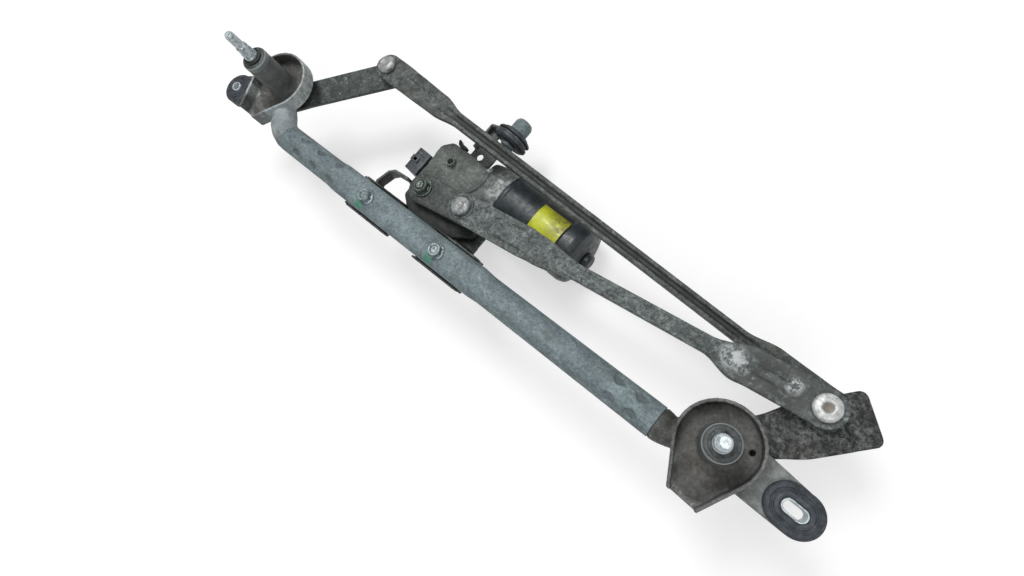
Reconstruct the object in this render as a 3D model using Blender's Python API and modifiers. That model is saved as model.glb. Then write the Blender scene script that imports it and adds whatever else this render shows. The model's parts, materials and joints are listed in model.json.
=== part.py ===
"""Front windscreen wiper linkage with its motor.

A steel tube joins two cast pivot housings. A bracket bolted to the tube carries the gear motor.
The crank drives the right rocker through a short link, and a long link couples the left rocker to it.
Lengths are in metres. The assembly frame has X from the left pivot to the right pivot, Y towards the
links and Z out along the spindles. Heights are measured from the tube's middle plane.
"""

import math

import bmesh
import bpy
from mathutils import Matrix, Vector

# Clearance between touching pieces, and the step that keeps joined walls of one piece off one plane
GAP = 0.0003
SEAM = 0.0002

# Frame tube
PIVOT_SPAN = 0.503
TUBE_OFFSET_RIGHT = 0.013
TUBE_OFFSET_LEFT = 0.0367
TUBE_RADIUS = 0.0125
TUBE_WALL = 0.0018
TUBE_END_LEFT = 0.052
TUBE_END_RIGHT = 0.0386
TUBE_FLAT_HALF_WIDTH = 0.0138
TUBE_FLAT_HALF_HEIGHT = 0.0105
TUBE_FLAT_MARGIN = 0.038
TUBE_FLAT_BLEND = 0.014
CRIMP_DEPTH = 0.0012
CRIMP_BALL_RADIUS = 0.0055
CRIMP_PITCH = 0.024
CRIMP_FIRST = 0.020
CRIMP_ANGLES = (52, 128, 232, 308)

# Motor bracket bolts, placed along the tube from the left pivot
BOLT_LEFT_PLACE = 0.169
BOLT_RIGHT_PLACE = 0.2545
BOLT_RADIUS = 0.003
BOLT_HEAD_RADIUS = 0.0050
BOLT_HEAD_HEIGHT = 0.0045
BOLT_FLANGE_RADIUS = 0.0070
BOLT_FLANGE_HEIGHT = 0.0012
BOLT_THREAD_PAST_NUT = 0.001
NUT_HEIGHT = 0.004
NUT_WALL = 0.0025

# Pivot housings
BARREL_TOP = 0.040
BARREL_BOTTOM = -0.0184
BARREL_RADIUS = 0.012
BARREL_FOOT_RADIUS = 0.0145
BARREL_NECK_RADIUS = 0.0106
BARREL_NECK_LENGTH = 0.004
CUP_RADIUS = 0.0297
CUP_WALL = 0.0025
CUP_RIM = 0.010
CUP_FLOOR_TOP = -0.003
CUP_FLOOR = 0.003
CUP_TIP_REACH = 0.043
CUP_TIP_SHIFT = 0.0035
CUP_TIP_WIDTH = 0.0235
DRAIN_RADIUS = 0.0022
DRAIN_REACH = 0.0215
DRAIN_ANGLE = 28
SPIGOT_LENGTH = 0.036
RIB_THICKNESS = 0.003
ARM_TOP = -0.0075
ARM_THICKNESS = 0.005
ARM_ROOT_RADIUS = 0.0185
ARM_RING_WALL = 0.0042

# Spindle, bush, seal and rings
SPINDLE_RADIUS = 0.006
SPINDLE_TIP = 0.076
SPINDLE_THREAD_RADIUS = 0.0042
SPINDLE_THREAD_LENGTH = 0.0155
SPINDLE_CONE_TOP_RADIUS = 0.0051
SPINDLE_CONE_BOTTOM = 0.0485
BUSH_WALL = 0.002
SEAL_HEIGHT = 0.0035
SEAL_SKIRT = 0.003
RING_WALL = 0.0028
RING_HEIGHT = 0.0012
RING_GROOVE_DEPTH = 0.0006
THRUST_WASHER_HEIGHT = 0.002
THRUST_WASHER_RADIUS = 0.0105
RIVET_HEAD_HEIGHT = 0.0025
RIVET_HEAD_RADIUS = 0.0085

# Rubber mounts of the pivot housings
MOUNT_RIGHT_X = 0.0579
MOUNT_RIGHT_Y = -0.0013
MOUNT_LEFT_X = -0.0495
MOUNT_LEFT_Y = -0.0306
GROMMET_WAIST_RADIUS = 0.0110
GROMMET_FLANGE_RADIUS = 0.0156
GROMMET_FLANGE_HEIGHT = 0.0048
MOUNT_RIGHT_STRETCH = 0.0043
SLEEVE_RADIUS = 0.0048
SLEEVE_WALL = 0.0013
SLEEVE_STAND = 0.0010

# Levers and ball joints
LEVER_THICKNESS = 0.004
LEVER_ROOT_RADIUS = 0.015
LEVER_LEFT_HALF_WIDTH = 0.0142
LEVER_RIGHT_ANGLE = 52.0
LEVER_RIGHT_LENGTH = 0.103
LEVER_RIGHT_END_HALF_WIDTH = 0.0189
LEVER_STEP_START = 0.0815
LEVER_STEP_RUN = 0.004
LEVER_STEP_DROP = 0.005
DRIVE_LEVER_RADIUS = 0.073
DRIVE_LEVER_ANGLE = 60.6
LONG_LEVER_RADIUS = 0.0908
LONG_LEVER_ANGLE = 53.5
LEFT_LEVER_RADIUS = 0.1073
LEFT_LEVER_ANGLE = 46.1
BALL_RADIUS = 0.0055
BALL_CLEARANCE = 0.0006
BALL_NECK_RADIUS = 0.0032
BALL_RISE = 0.011
STUD_FLANGE_RADIUS = 0.0062
STUD_FLANGE_HEIGHT = 0.0016
STUD_HEAD_RADIUS = 0.0056
STUD_HEAD_HEIGHT = 0.0016
SOCKET_WALL = 0.0012
SOCKET_LIP = 0.0013
SOCKET_CAP_RADIUS = 0.0085
SOCKET_CAP_RADIUS_DRIVE = 0.0095
SOCKET_CAP_HEIGHT = 0.0060
SOCKET_CROWN = 0.0014
SOCKET_DIMPLE_RADIUS = 0.0032
SOCKET_DIMPLE_DEPTH = 0.0007
SOCKET_SKIRT_DEPTH = 0.0030

# Links
LINK_SHEET = 0.0026
LINK_PAD = 0.016
DRIVE_END_RADIUS = 0.0138
DRIVE_WAIST_HALF_WIDTH = 0.0066
DRIVE_LEAN = 0.0008
DRIVE_FLANGE = 0.0050
LONG_END_RADIUS = 0.0125
LONG_WAIST_HALF_WIDTH = 0.0062
LONG_FLANGE = 0.0058
LONG_GROOVE = 0.0022
COLLAR_HEIGHT = 0.0010
COLLAR_RADIUS = 0.0118

# Crank and motor: the shaft is placed from the left pivot, and the rest in plan from the shaft
CRANK_RADIUS = 0.052
SHAFT_PLACE = 0.172
SHAFT_Y = 0.011
CRANK_TOP = -0.0385
CRANK_THICKNESS = 0.005
CRANK_HUB_RADIUS = 0.0145
CRANK_END_RADIUS = 0.0125
CRANK_BALL_RISE = 0.010
SHAFT_RADIUS = 0.006
SHAFT_THREAD_RADIUS = 0.004
SHAFT_THREAD_PAST_NUT = 0.001
SHAFT_DEPTH = 0.020
CRANK_WASHER_RADIUS = 0.0095
CRANK_WASHER_HEIGHT = 0.0014
CRANK_NUT_HEIGHT = 0.0050
CRANK_NUT_HALF_FLATS = 0.0065
DECK_TOP = -0.050
DECK_THICKNESS = 0.008
DECK_CORNER = 0.007
DECK_CORNERS = (
    (-0.0195, -0.0150), (-0.0100, -0.0215), (0.0310, -0.0255), (0.0650, -0.0095), (0.0675, 0.0090),
    (0.0480, 0.0170), (0.0465, 0.0505), (0.0090, 0.0536), (-0.0150, 0.0528), (-0.0235, 0.0430),
    (-0.0215, 0.0190))
RISER_LOW = (0.0310, 0.0245)
RISER_HIGH = (0.0460, 0.0490)
SHAFT_BOSS_RADIUS = 0.0115
SHAFT_BOSS_TOP = -0.0445
BREATHER_PLACE = (-0.0005, 0.0358)
BREATHER_RADIUS = 0.0050
BREATHER_TOP = -0.0443
CASE_RADIUS = 0.0295
CASE_BOTTOM = -0.086
CASE_RIM = 0.0035
CASE_NECK_RADIUS = 0.0185
COVER_HEIGHT = 0.014
COVER_RADIUS = 0.036
COVER_SCREW_RADIUS = 0.0035
COVER_EAR_RADIUS = 0.0055
MOTOR_AXIS_SHIFT = 0.0435
MOTOR_AXIS_Z = -0.076
CAN_RADIUS = 0.0295
CAN_PLACE = 0.062
CAN_LENGTH = 0.091
CAN_EDGE = 0.004
CAN_BEAD = 0.0006
NECK_LENGTH = 0.031
TUNNEL_RADIUS = 0.0095
TUNNEL_REACH = 0.021
END_CAP_RADIUS = 0.0078
END_CAP_LENGTH = 0.0065
LABEL_PLACE = 0.039
LABEL_LENGTH = 0.031
LABEL_THICKNESS = 0.0003
LABEL_FROM = 62
LABEL_TO = 128
MOTOR_SCREW_RADIUS = 0.0025
MOTOR_SCREW_HEAD_RADIUS = 0.0045
MOTOR_SCREW_HEAD_HEIGHT = 0.0035
MOTOR_SCREW_BITE = 0.008
SCREW_BOSS_RADIUS = 0.0055
MOTOR_SCREW_PLACES = (BREATHER_PLACE, (CASE_RADIUS + 0.0015, 0.0115 - CASE_RADIUS), (0.0590, 0.0030))

# Motor bracket and third mount
PLATE_TOP = -0.059
PLATE_THICKNESS = 0.0028
SPINE_HALF_WIDTH = 0.0155
SADDLE_HALF_LENGTH = 0.0245
SADDLE_TAB_HEIGHT = 0.010
BAND_HEIGHT = 0.014
SPINE_NOTCH = 0.0025
HANGER_WIDTH = 0.013
LEG_HALF_WIDTH = 0.0108
STRAP_WIDTH = 0.0026
STRAP_LINE = (
    (-0.0240, -0.0270), (-0.0470, -0.0275), (-0.0520, -0.0220), (-0.0480, -0.0080), (-0.0430, -0.0035),
    (-0.0260, -0.0015))
PLATE_EDGE = (
    (0.0370, -0.0275), (0.0730, -0.0198), (0.0730, 0.0105), (0.0360, 0.0130), (0.0270, 0.0220),
    (0.0270, 0.0690), (0.0140, 0.0770), (0.0140, 0.0892), (0.0018, 0.0892), (0.0018, 0.0550),
    (-0.0170, 0.0450), (-0.0275, 0.0290), (-0.0290, -0.0045))
ARM_RIM_LINE = ((0.0033, 0.0615), (0.0033, 0.0875))
ARM_RIM_WIDTH = 0.0024
THIRD_PLACE = (0.0320, 0.0880)
THIRD_Z = -0.050
THIRD_ROOT = 0.0085
THIRD_ROOT_RADIUS = 0.0066
THIRD_HOLE_RADIUS = 0.0105
THIRD_TAB_RADIUS = 0.0155
THIRD_FLANGE_RADIUS = 0.0172
THIRD_FLANGE_HEIGHT = 0.0045
PEG_RADIUS = 0.0088
PEG_SHANK_RADIUS = 0.0050
PEG_LENGTH = 0.0135
PEG_HEAD_HEIGHT = 0.003
ARM_HOLE_PLACE = (0.0120, 0.0580)
ARM_HOLE_RADIUS = 0.0035

# Connector
CONNECTOR_CLEAR = 0.009
CONNECTOR_PLACE = (-CASE_RADIUS - CONNECTOR_CLEAR, 0.0185)
CONNECTOR_LENGTH = 0.013
CONNECTOR_WIDTH = 0.0245
CONNECTOR_SHOULDER = 0.0036
CONNECTOR_TOP = -0.057
CONNECTOR_WALL = 0.0018
CONNECTOR_MOUTH_HEIGHT = 0.014
PIN_COUNT = 4
CLIP_CORNERS = (
    (-0.0075, 0.0534), (0.0010, 0.0537), (0.0010, 0.0563), (-0.0042, 0.0563), (-0.0095, 0.0588),
    (-0.0105, 0.0570))

ROUND_STEPS = 20
BARREL_STEPS = 16
SMALL_STEPS = 12


def tube_angle():
    return math.atan2(TUBE_OFFSET_LEFT - TUBE_OFFSET_RIGHT, PIVOT_SPAN)


def on_tube(x, y=0.0, z=0.0):
    """A point given along, across and above the tube's axis, in the assembly frame."""
    turn = Matrix.Rotation(tube_angle(), 4, "Z")
    return turn @ Vector((x, y, z)) + Vector((0, -TUBE_OFFSET_RIGHT, 0))


def polar(radius, degrees, z=0.0):
    angle = math.radians(degrees)
    return Vector((radius * math.cos(angle), radius * math.sin(angle), z))


# Places that follow from the driving dimensions
BOLT_LEFT = PIVOT_SPAN - BOLT_LEFT_PLACE
BOLT_RIGHT = PIVOT_SPAN - BOLT_RIGHT_PLACE
SHAFT_X = SHAFT_PLACE - PIVOT_SPAN


def from_shaft(place):
    return SHAFT_X + place[0], SHAFT_Y + place[1]


def all_from_shaft(places):
    return [from_shaft(place) for place in places]


MOTOR_AXIS_Y = SHAFT_Y + MOTOR_AXIS_SHIFT
CAN_START = SHAFT_X + CAN_PLACE
LABEL_START = CAN_START + LABEL_PLACE
TUNNEL_END = SHAFT_X - TUNNEL_REACH
MOTOR_SCREWS = all_from_shaft(MOTOR_SCREW_PLACES)
THIRD_X, THIRD_Y = from_shaft(THIRD_PLACE)
CONNECTOR_X, CONNECTOR_Y = from_shaft(CONNECTOR_PLACE)

# Heights that follow from the driving dimensions
LEVER_TOP = BARREL_BOTTOM - THRUST_WASHER_HEIGHT - 2 * GAP
LEVER_LOW_BOTTOM = LEVER_TOP - LEVER_THICKNESS - LEVER_STEP_DROP
ROCKER_BALL_Z = LEVER_TOP + BALL_RISE
UNDER_BALL_Z = LEVER_LOW_BOTTOM - BALL_RISE
CRANK_BALL_Z = CRANK_TOP + CRANK_BALL_RISE
BUSH_RADIUS = SPINDLE_RADIUS + GAP + BUSH_WALL
SOCKET_WAIST = BALL_RADIUS + BALL_CLEARANCE + SOCKET_WALL
PLATE_BOTTOM = PLATE_TOP - PLATE_THICKNESS
SPINE_TOP = -TUBE_FLAT_HALF_HEIGHT - GAP
SPINE_BOTTOM = SPINE_TOP - PLATE_THICKNESS

# Joint axes that follow from the driving dimensions
RIGHT_PIVOT = Vector((0, 0, 0))
LEFT_PIVOT = Vector((-PIVOT_SPAN, 0, 0))
CRANK_PIVOT = Vector((SHAFT_X, SHAFT_Y, 0))
DRIVE_BALL = polar(DRIVE_LEVER_RADIUS, DRIVE_LEVER_ANGLE)
LONG_BALL_RIGHT = polar(LONG_LEVER_RADIUS, LONG_LEVER_ANGLE)
LONG_BALL_LEFT = LEFT_PIVOT + polar(LEFT_LEVER_RADIUS, LEFT_LEVER_ANGLE)
PARK_LINE = (DRIVE_BALL - CRANK_PIVOT).normalized()
CRANK_BALL = CRANK_PIVOT + PARK_LINE * CRANK_RADIUS


def fresh_scene():
    for item in list(bpy.data.objects):
        bpy.data.objects.remove(item)
    parts = bpy.data.collections.new("wiper_linkage")
    tools = bpy.data.collections.new("cutters")
    bpy.context.scene.collection.children.link(parts)
    bpy.context.scene.collection.children.link(tools)
    return parts, tools


PARTS, TOOLS = fresh_scene()
HOLDERS = {}


def holder(name, at, parent=None):
    """An empty on a joint axis, which carries the pieces of one body."""
    empty = bpy.data.objects.new(name, None)
    empty.empty_display_size = 0.02
    PARTS.objects.link(empty)
    base = Vector((0, 0, 0))
    if parent:
        empty.parent = bpy.data.objects[parent]
        base = HOLDERS[parent]
    HOLDERS[name] = Vector(at)
    empty.location = Vector(at) - base
    return name


def make_holders():
    frame = holder("assembly_frame", (0, 0, 0))
    bpy.data.objects[frame].location = (0, 0, -SPINDLE_TIP)
    holder("crank_axis", CRANK_PIVOT, frame)
    holder("right_rocker_axis", RIGHT_PIVOT, frame)
    holder("left_rocker_axis", LEFT_PIVOT, frame)
    holder("drive_link_axis", DRIVE_BALL, "right_rocker_axis")
    holder("long_link_axis", LONG_BALL_LEFT, "left_rocker_axis")


def material(name, colour, metallic, roughness):
    if name in bpy.data.materials:
        return bpy.data.materials[name]
    result = bpy.data.materials.new(name)
    result.use_nodes = True
    shader = result.node_tree.nodes["Principled BSDF"]
    shader.inputs["Base Color"].default_value = (*colour, 1)
    shader.inputs["Metallic"].default_value = metallic
    shader.inputs["Roughness"].default_value = roughness
    return result


FINISHES = {
    "zinc tube": ((0.33, 0.38, 0.39), 0.7, 0.5),
    "cast alloy": ((0.30, 0.31, 0.30), 0.6, 0.6),
    "bronze": ((0.45, 0.32, 0.16), 0.9, 0.4),
    "black rubber": ((0.02, 0.025, 0.035), 0.0, 0.6),
    "bright zinc": ((0.70, 0.72, 0.72), 0.9, 0.35),
    "dark steel": ((0.10, 0.11, 0.10), 0.6, 0.6),
    "black steel": ((0.02, 0.022, 0.026), 0.3, 0.4),
    "dark plastic": ((0.015, 0.017, 0.02), 0.0, 0.5),
    "slate plastic": ((0.03, 0.04, 0.06), 0.0, 0.5),
    "white plastic": ((0.62, 0.61, 0.58), 0.0, 0.5),
    "yellow film": ((0.80, 0.85, 0.05), 0.0, 0.4),
    "ball steel": ((0.55, 0.55, 0.55), 1.0, 0.25),
}


def settle(obj, finish, carrier, at=(0, 0, 0)):
    """Hang a piece on its holder with its own origin at the given assembly point."""
    PARTS.objects.link(obj)
    obj.parent = bpy.data.objects[carrier]
    obj.location = Vector(at) - HOLDERS[carrier]
    colour, metallic, roughness = FINISHES[finish]
    obj.data.materials.append(material(finish + " of " + obj.name, colour, metallic, roughness))
    return obj


def make_tool(obj, carrier, at=(0, 0, 0)):
    """Turn a shape into a hidden helper for a Boolean modifier."""
    TOOLS.objects.link(obj)
    obj.parent = bpy.data.objects[carrier]
    obj.location = Vector(at) - HOLDERS[carrier]
    obj.hide_render = True
    obj.display_type = "WIRE"
    return obj


def combine(target, tool, operation):
    modifier = target.modifiers.new(tool.name, "BOOLEAN")
    modifier.operation = operation
    modifier.solver = "EXACT"
    modifier.object = tool


def add(target, tool):
    combine(target, tool, "UNION")


def cut(target, tool):
    combine(target, tool, "DIFFERENCE")


def smooth(mesh):
    mesh.shade_smooth()
    mesh.set_sharp_from_angle(angle=math.radians(35))


def finish_mesh(bm, name):
    bmesh.ops.recalc_face_normals(bm, faces=bm.faces)
    mesh = bpy.data.meshes.new(name)
    bm.to_mesh(mesh)
    bm.free()
    smooth(mesh)
    return mesh


def skin(name, rings, bore=None):
    """A closed solid through a row of equal rings, with a through bore where bore rings are given."""
    bm = bmesh.new()

    def row_of_loops(rows):
        loops = [[bm.verts.new(point) for point in ring] for ring in rows]
        for lower, upper in zip(loops, loops[1:]):
            bridge(lower, upper)
        return loops

    def bridge(first, second):
        count = len(first)
        for index in range(count):
            after = (index + 1) % count
            bm.faces.new((first[index], first[after], second[after], second[index]))

    outer = row_of_loops(rings)
    if bore is None:
        bm.faces.new(outer[0])
        bm.faces.new(outer[-1])
    else:
        inner = row_of_loops(bore)
        bridge(outer[0], inner[0])
        bridge(outer[-1], inner[-1])
    return bpy.data.objects.new(name, finish_mesh(bm, name))


def ring(radius, z, steps=ROUND_STEPS, stretch=0.0, hexagon=False):
    """A ring of points about Z: round, stretched along X, or a hexagon of the given half width."""
    points = []
    for index in range(steps):
        angle = 2 * math.pi * (index + 0.5) / steps
        if hexagon:
            angle = 2 * math.pi * index / steps
        reach = radius
        if hexagon:
            sector = (angle + math.pi / 6) % (math.pi / 3) - math.pi / 6
            reach = radius / math.cos(sector)
        x = reach * math.cos(angle)
        points.append((x + math.copysign(stretch, x), reach * math.sin(angle), z))
    return points


def stack(name, layers, bore=None, steps=SMALL_STEPS, stretch=0.0):
    """A solid from rings given as radius, height and an optional word for a hexagon."""
    rings = [ring(layer[0], layer[1], steps, stretch, len(layer) > 2) for layer in layers]
    hole = None
    if bore:
        hole = [ring(radius, z, steps, stretch) for radius, z in bore]
    return skin(name, rings, hole)


def turned(name, profile, steps=SMALL_STEPS, closed=False):
    """A turned piece: the profile runs down its outer side, and a closed one has a bore."""
    bm = bmesh.new()
    points = [bm.verts.new((radius, 0, z)) for radius, z in profile]
    for first, second in zip(points, points[1:]):
        bm.edges.new((first, second))
    if closed:
        bm.edges.new((points[-1], points[0]))
    mesh = bpy.data.meshes.new(name)
    bm.to_mesh(mesh)
    bm.free()
    obj = bpy.data.objects.new(name, mesh)
    screw = obj.modifiers.new("turn", "SCREW")
    screw.axis = "Z"
    screw.steps = steps
    screw.render_steps = steps
    screw.use_merge_vertices = True
    screw.merge_threshold = 0.00001
    screw.use_smooth_shade = True
    return obj


def washer_profile(inner, outer, bottom, top):
    return [(outer, top), (outer, bottom), (inner, bottom), (inner, top)]


def rod(name, radius, bottom, top, steps=SMALL_STEPS):
    return skin(name, [ring(radius, bottom, steps), ring(radius, top, steps)])


def plate(name, outline, bottom, top, holes=()):
    """A flat plate: a filled 2D curve with holes, extruded and made a welded mesh."""
    curve = bpy.data.curves.new(name, "CURVE")
    curve.dimensions = "2D"
    curve.fill_mode = "BOTH"
    curve.extrude = (top - bottom) / 2
    for points in (outline, *holes):
        spline = curve.splines.new("POLY")
        spline.points.add(len(points) - 1)
        for slot, point in zip(spline.points, points):
            slot.co = (point[0], point[1], 0, 1)
        spline.use_cyclic_u = True
    drawn = bpy.data.objects.new(name + " outline", curve)
    TOOLS.objects.link(drawn)
    bpy.context.view_layer.update()
    graph = bpy.context.evaluated_depsgraph_get()
    mesh = bpy.data.meshes.new_from_object(drawn.evaluated_get(graph))
    bpy.data.objects.remove(drawn)
    bm = bmesh.new()
    bm.from_mesh(mesh)
    bpy.data.meshes.remove(mesh)
    bmesh.ops.remove_doubles(bm, verts=bm.verts, dist=0.000001)
    bmesh.ops.translate(bm, verts=bm.verts, vec=(0, 0, (top + bottom) / 2))
    return bpy.data.objects.new(name, finish_mesh(bm, name))


def arc(centre, radius, start, stop, count):
    """Points along an arc, with its angles in degrees."""
    points = []
    for index in range(count + 1):
        angle = math.radians(start + (stop - start) * index / count)
        points.append((centre[0] + radius * math.cos(angle), centre[1] + radius * math.sin(angle)))
    return points


def rounded(corners, radius, count=3):
    """A closed outline with each corner rounded."""
    points = []
    total = len(corners)
    for index in range(total):
        corner = Vector(corners[index])
        before = (Vector(corners[index - 1]) - corner)
        after = (Vector(corners[(index + 1) % total]) - corner)
        half = before.angle(after) / 2
        reach = min(radius / math.tan(half), before.length * 0.45, after.length * 0.45)
        start = corner + before.normalized() * reach
        stop = corner + after.normalized() * reach
        for step in range(count + 1):
            share = step / count
            curve = start.lerp(corner, share).lerp(corner.lerp(stop, share), share)
            points.append((curve.x, curve.y))
    return points


def belt(first, first_radius, second, second_radius, count=9):
    """The outline of a belt round two circles."""
    first = Vector(first[:2])
    second = Vector(second[:2])
    along = second - first
    heading = math.degrees(math.atan2(along.y, along.x))
    spread = math.degrees(math.acos((first_radius - second_radius) / along.length))
    far = arc(second, second_radius, heading - spread, heading + spread, count)
    near = arc(first, first_radius, heading + spread, heading + 360 - spread, count)
    return far + near


def band(points, width):
    """The outline of a strip of even width along a bent line, in plan."""
    points = [Vector(point) for point in points]
    left = []
    right = []
    for index, point in enumerate(points):
        before = points[max(index - 1, 0)]
        after = points[min(index + 1, len(points) - 1)]
        entering = (point - before).normalized() if index else (after - point).normalized()
        leaving = (after - point).normalized() if index < len(points) - 1 else entering
        mean = (entering + leaving).normalized()
        side = Vector((-mean.y, mean.x)) * (width / 2) / max(mean.dot(entering), 0.3)
        left.append(tuple(point + side))
        right.append(tuple(point - side))
    return left + right[::-1]


def block(name, low, high):
    bm = bmesh.new()
    bmesh.ops.create_cube(bm, size=1)
    size = Vector(high) - Vector(low)
    middle = (Vector(high) + Vector(low)) / 2
    bmesh.ops.transform(bm, matrix=Matrix.Translation(middle) @ Matrix.Diagonal((*size, 1)), verts=bm.verts)
    mesh = bpy.data.meshes.new(name)
    bm.to_mesh(mesh)
    bm.free()
    return bpy.data.objects.new(name, mesh)


def tube_block(name, low, high):
    """A block laid along the tube's own axis."""
    obj = block(name, low, high)
    offset = Matrix.Translation((0, -TUBE_OFFSET_RIGHT, 0))
    obj.data.transform(offset @ Matrix.Rotation(tube_angle(), 4, "Z"))
    return obj


def swept(name, path, steps=ROUND_STEPS):
    """A round casting along a path of points, each with its radius."""
    rings = []
    for index, (point, radius) in enumerate(path):
        before = path[max(index - 1, 0)][0]
        after = path[min(index + 1, len(path) - 1)][0]
        heading = (Vector(after) - Vector(before)).normalized()
        across = heading.cross(Vector((0, 0, 1))).normalized()
        up = across.cross(heading)
        circle = []
        for step in range(steps):
            angle = 2 * math.pi * (step + 0.5) / steps
            circle.append(Vector(point) + across * radius * math.cos(angle) + up * radius * math.sin(angle))
        rings.append(circle)
    return skin(name, rings)


def ease(share):
    share = max(0.0, min(1.0, share))
    return share * share * (3 - 2 * share)


def between(stations, s):
    """The eased values of a list of stations at one place along a strip."""
    if s <= stations[0][0]:
        return stations[0][1:]
    for first, second in zip(stations, stations[1:]):
        if s <= second[0]:
            share = ease((s - first[0]) / (second[0] - first[0]))
            return [a + (b - a) * share for a, b in zip(first[1:], second[1:])]
    return stations[-1][1:]


def channel_section(half_width, top, sheet, flange, groove):
    """Half of a pressed channel's section, from its flange tip over the top to the middle."""
    wall = min(sheet, half_width * 0.35)
    groove_half = min(0.0042, half_width * 0.45)
    corner = wall * 0.4
    outer = [
        (half_width, top - sheet - flange),
        (half_width, top - corner),
        (half_width - corner, top),
        (groove_half, top),
        (groove_half * 0.55, top - groove),
    ]
    inner = [
        (groove_half * 0.55, top - sheet - groove),
        (groove_half, top - sheet),
        (half_width - wall * 1.3, top - sheet),
        (half_width - wall, top - sheet - flange),
    ]
    return outer, inner


def flat_section(half_width, top, sheet):
    """Half of a flat bar's section, with its upper edge eased."""
    corner = min(0.0008, half_width * 0.3)
    return [(half_width, top - sheet), (half_width, top - corner), (half_width - corner, top)], []


def pressed_strip(name, start, heading, stations, places, level, sheet, lean=((0, 0),)):
    """A pressed sheet strip: each station gives half width, flange depth and groove depth."""
    flat = all(station[2] == 0 and station[3] == 0 for station in stations)
    along = heading.normalized()
    across = Vector((-along.y, along.x, 0))
    rings = []
    for s in places:
        half_width, flange, groove = between(stations, s)
        outer, inner = channel_section(half_width, level(s), sheet, flange, groove)
        if flat:
            outer, inner = flat_section(half_width, level(s), sheet)
        right = outer
        left = [(-w, z) for w, z in reversed(outer)]
        under_left = [(-w, z) for w, z in reversed(inner)]
        loop = right + left + under_left + inner
        centre = Vector((start.x, start.y, 0)) + along * s + across * between(lean, s)[0]
        rings.append([centre + across * w + Vector((0, 0, z)) for w, z in loop])
    return skin(name, rings)


def spread(start, stop, count):
    return [start + (stop - start) * index / count for index in range(count + 1)]


def round_end(radius, count=3):
    """Places and half widths of a half round end, from its tip to its full width."""
    result = []
    for index in range(count + 1):
        angle = math.pi / 2 * index / count
        result.append((-radius * math.cos(angle), max(radius * math.sin(angle), radius * 0.14)))
    return result


def strip_with_round_ends(name, start, heading, length, first_radius, last_radius, middle, level, sheet,
                          lean=((0, 0),)):
    """A strip with half round ends; the middle stations lie between the two end centres."""
    head = round_end(first_radius)
    tail = round_end(last_radius)
    first = middle[0]
    last = middle[-1]
    stations = [(s, half, first[2], first[3]) for s, half in head[:-1]]
    stations += middle
    stations += [(length - s, half, last[2], last[3]) for s, half in reversed(tail[:-1])]
    places = [station[0] for station in stations]
    for first_place, second_place in zip(middle, middle[1:]):
        run = second_place[0] - first_place[0]
        pieces = 2 if first_place[1:] != second_place[1:] else 1
        places += spread(first_place[0], second_place[0], pieces)[1:-1] if run > 0 else []
    return pressed_strip(name, start, heading, stations, sorted(places), level, sheet, lean)


def tube_outline(x, inset):
    """One ring of the tube's wall, flattened where the bracket is bolted on."""
    left = -BOLT_LEFT - TUBE_FLAT_MARGIN
    right = -BOLT_RIGHT + TUBE_FLAT_MARGIN
    blend = TUBE_FLAT_BLEND
    flat = ease((x - left + blend) / blend) * ease((right + blend - x) / blend)
    half_width = TUBE_RADIUS + (TUBE_FLAT_HALF_WIDTH - TUBE_RADIUS) * flat - inset
    half_height = TUBE_RADIUS + (TUBE_FLAT_HALF_HEIGHT - TUBE_RADIUS) * flat - inset
    power = 2 / (2 + 1.2 * flat)
    points = []
    for index in range(ROUND_STEPS):
        angle = 2 * math.pi * (index + 0.5) / ROUND_STEPS
        y = math.copysign(abs(math.cos(angle)) ** power, math.cos(angle)) * half_width
        z = math.copysign(abs(math.sin(angle)) ** power, math.sin(angle)) * half_height
        points.append(on_tube(x, y, z))
    return points


def make_tube():
    start = -PIVOT_SPAN + TUBE_END_LEFT
    stop = -TUBE_END_RIGHT
    flat_left = -BOLT_LEFT - TUBE_FLAT_MARGIN
    flat_right = -BOLT_RIGHT + TUBE_FLAT_MARGIN
    places = [start]
    places += spread(flat_left - TUBE_FLAT_BLEND, flat_left, 3)
    places += spread(flat_right, flat_right + TUBE_FLAT_BLEND, 3)
    places.append(stop)
    outer = [tube_outline(x, 0) for x in places]
    inner = [tube_outline(x, TUBE_WALL) for x in places]
    tube = settle(skin("frame_tube", outer, inner), "zinc tube", "assembly_frame")
    reach = TUBE_RADIUS + GAP
    for name, place in (("bolt hole left", BOLT_LEFT), ("bolt hole right", BOLT_RIGHT)):
        hole = rod(name, BOLT_RADIUS + GAP, -reach, reach)
        cut(tube, make_tool(hole, "assembly_frame", on_tube(-place)))
    cut(tube, make_tool(crimp_balls(start, stop), "assembly_frame"))


def crimp_balls(start, stop):
    """The staking punches that leave two rows of dimples round each end of the tube."""
    bm = bmesh.new()
    rows = [start + CRIMP_FIRST + CRIMP_PITCH * index for index in range(2)]
    rows += [stop - CRIMP_FIRST * 0.75 - CRIMP_PITCH * index for index in range(2)]
    offset = TUBE_RADIUS + CRIMP_BALL_RADIUS - CRIMP_DEPTH
    for x in rows:
        for degrees in CRIMP_ANGLES:
            angle = math.radians(degrees)
            centre = on_tube(x, offset * math.cos(angle), offset * math.sin(angle))
            bmesh.ops.create_uvsphere(
                bm, u_segments=6, v_segments=4, radius=CRIMP_BALL_RADIUS, matrix=Matrix.Translation(centre))
    return bpy.data.objects.new("crimp punches", finish_mesh(bm, "crimp punches"))


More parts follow.
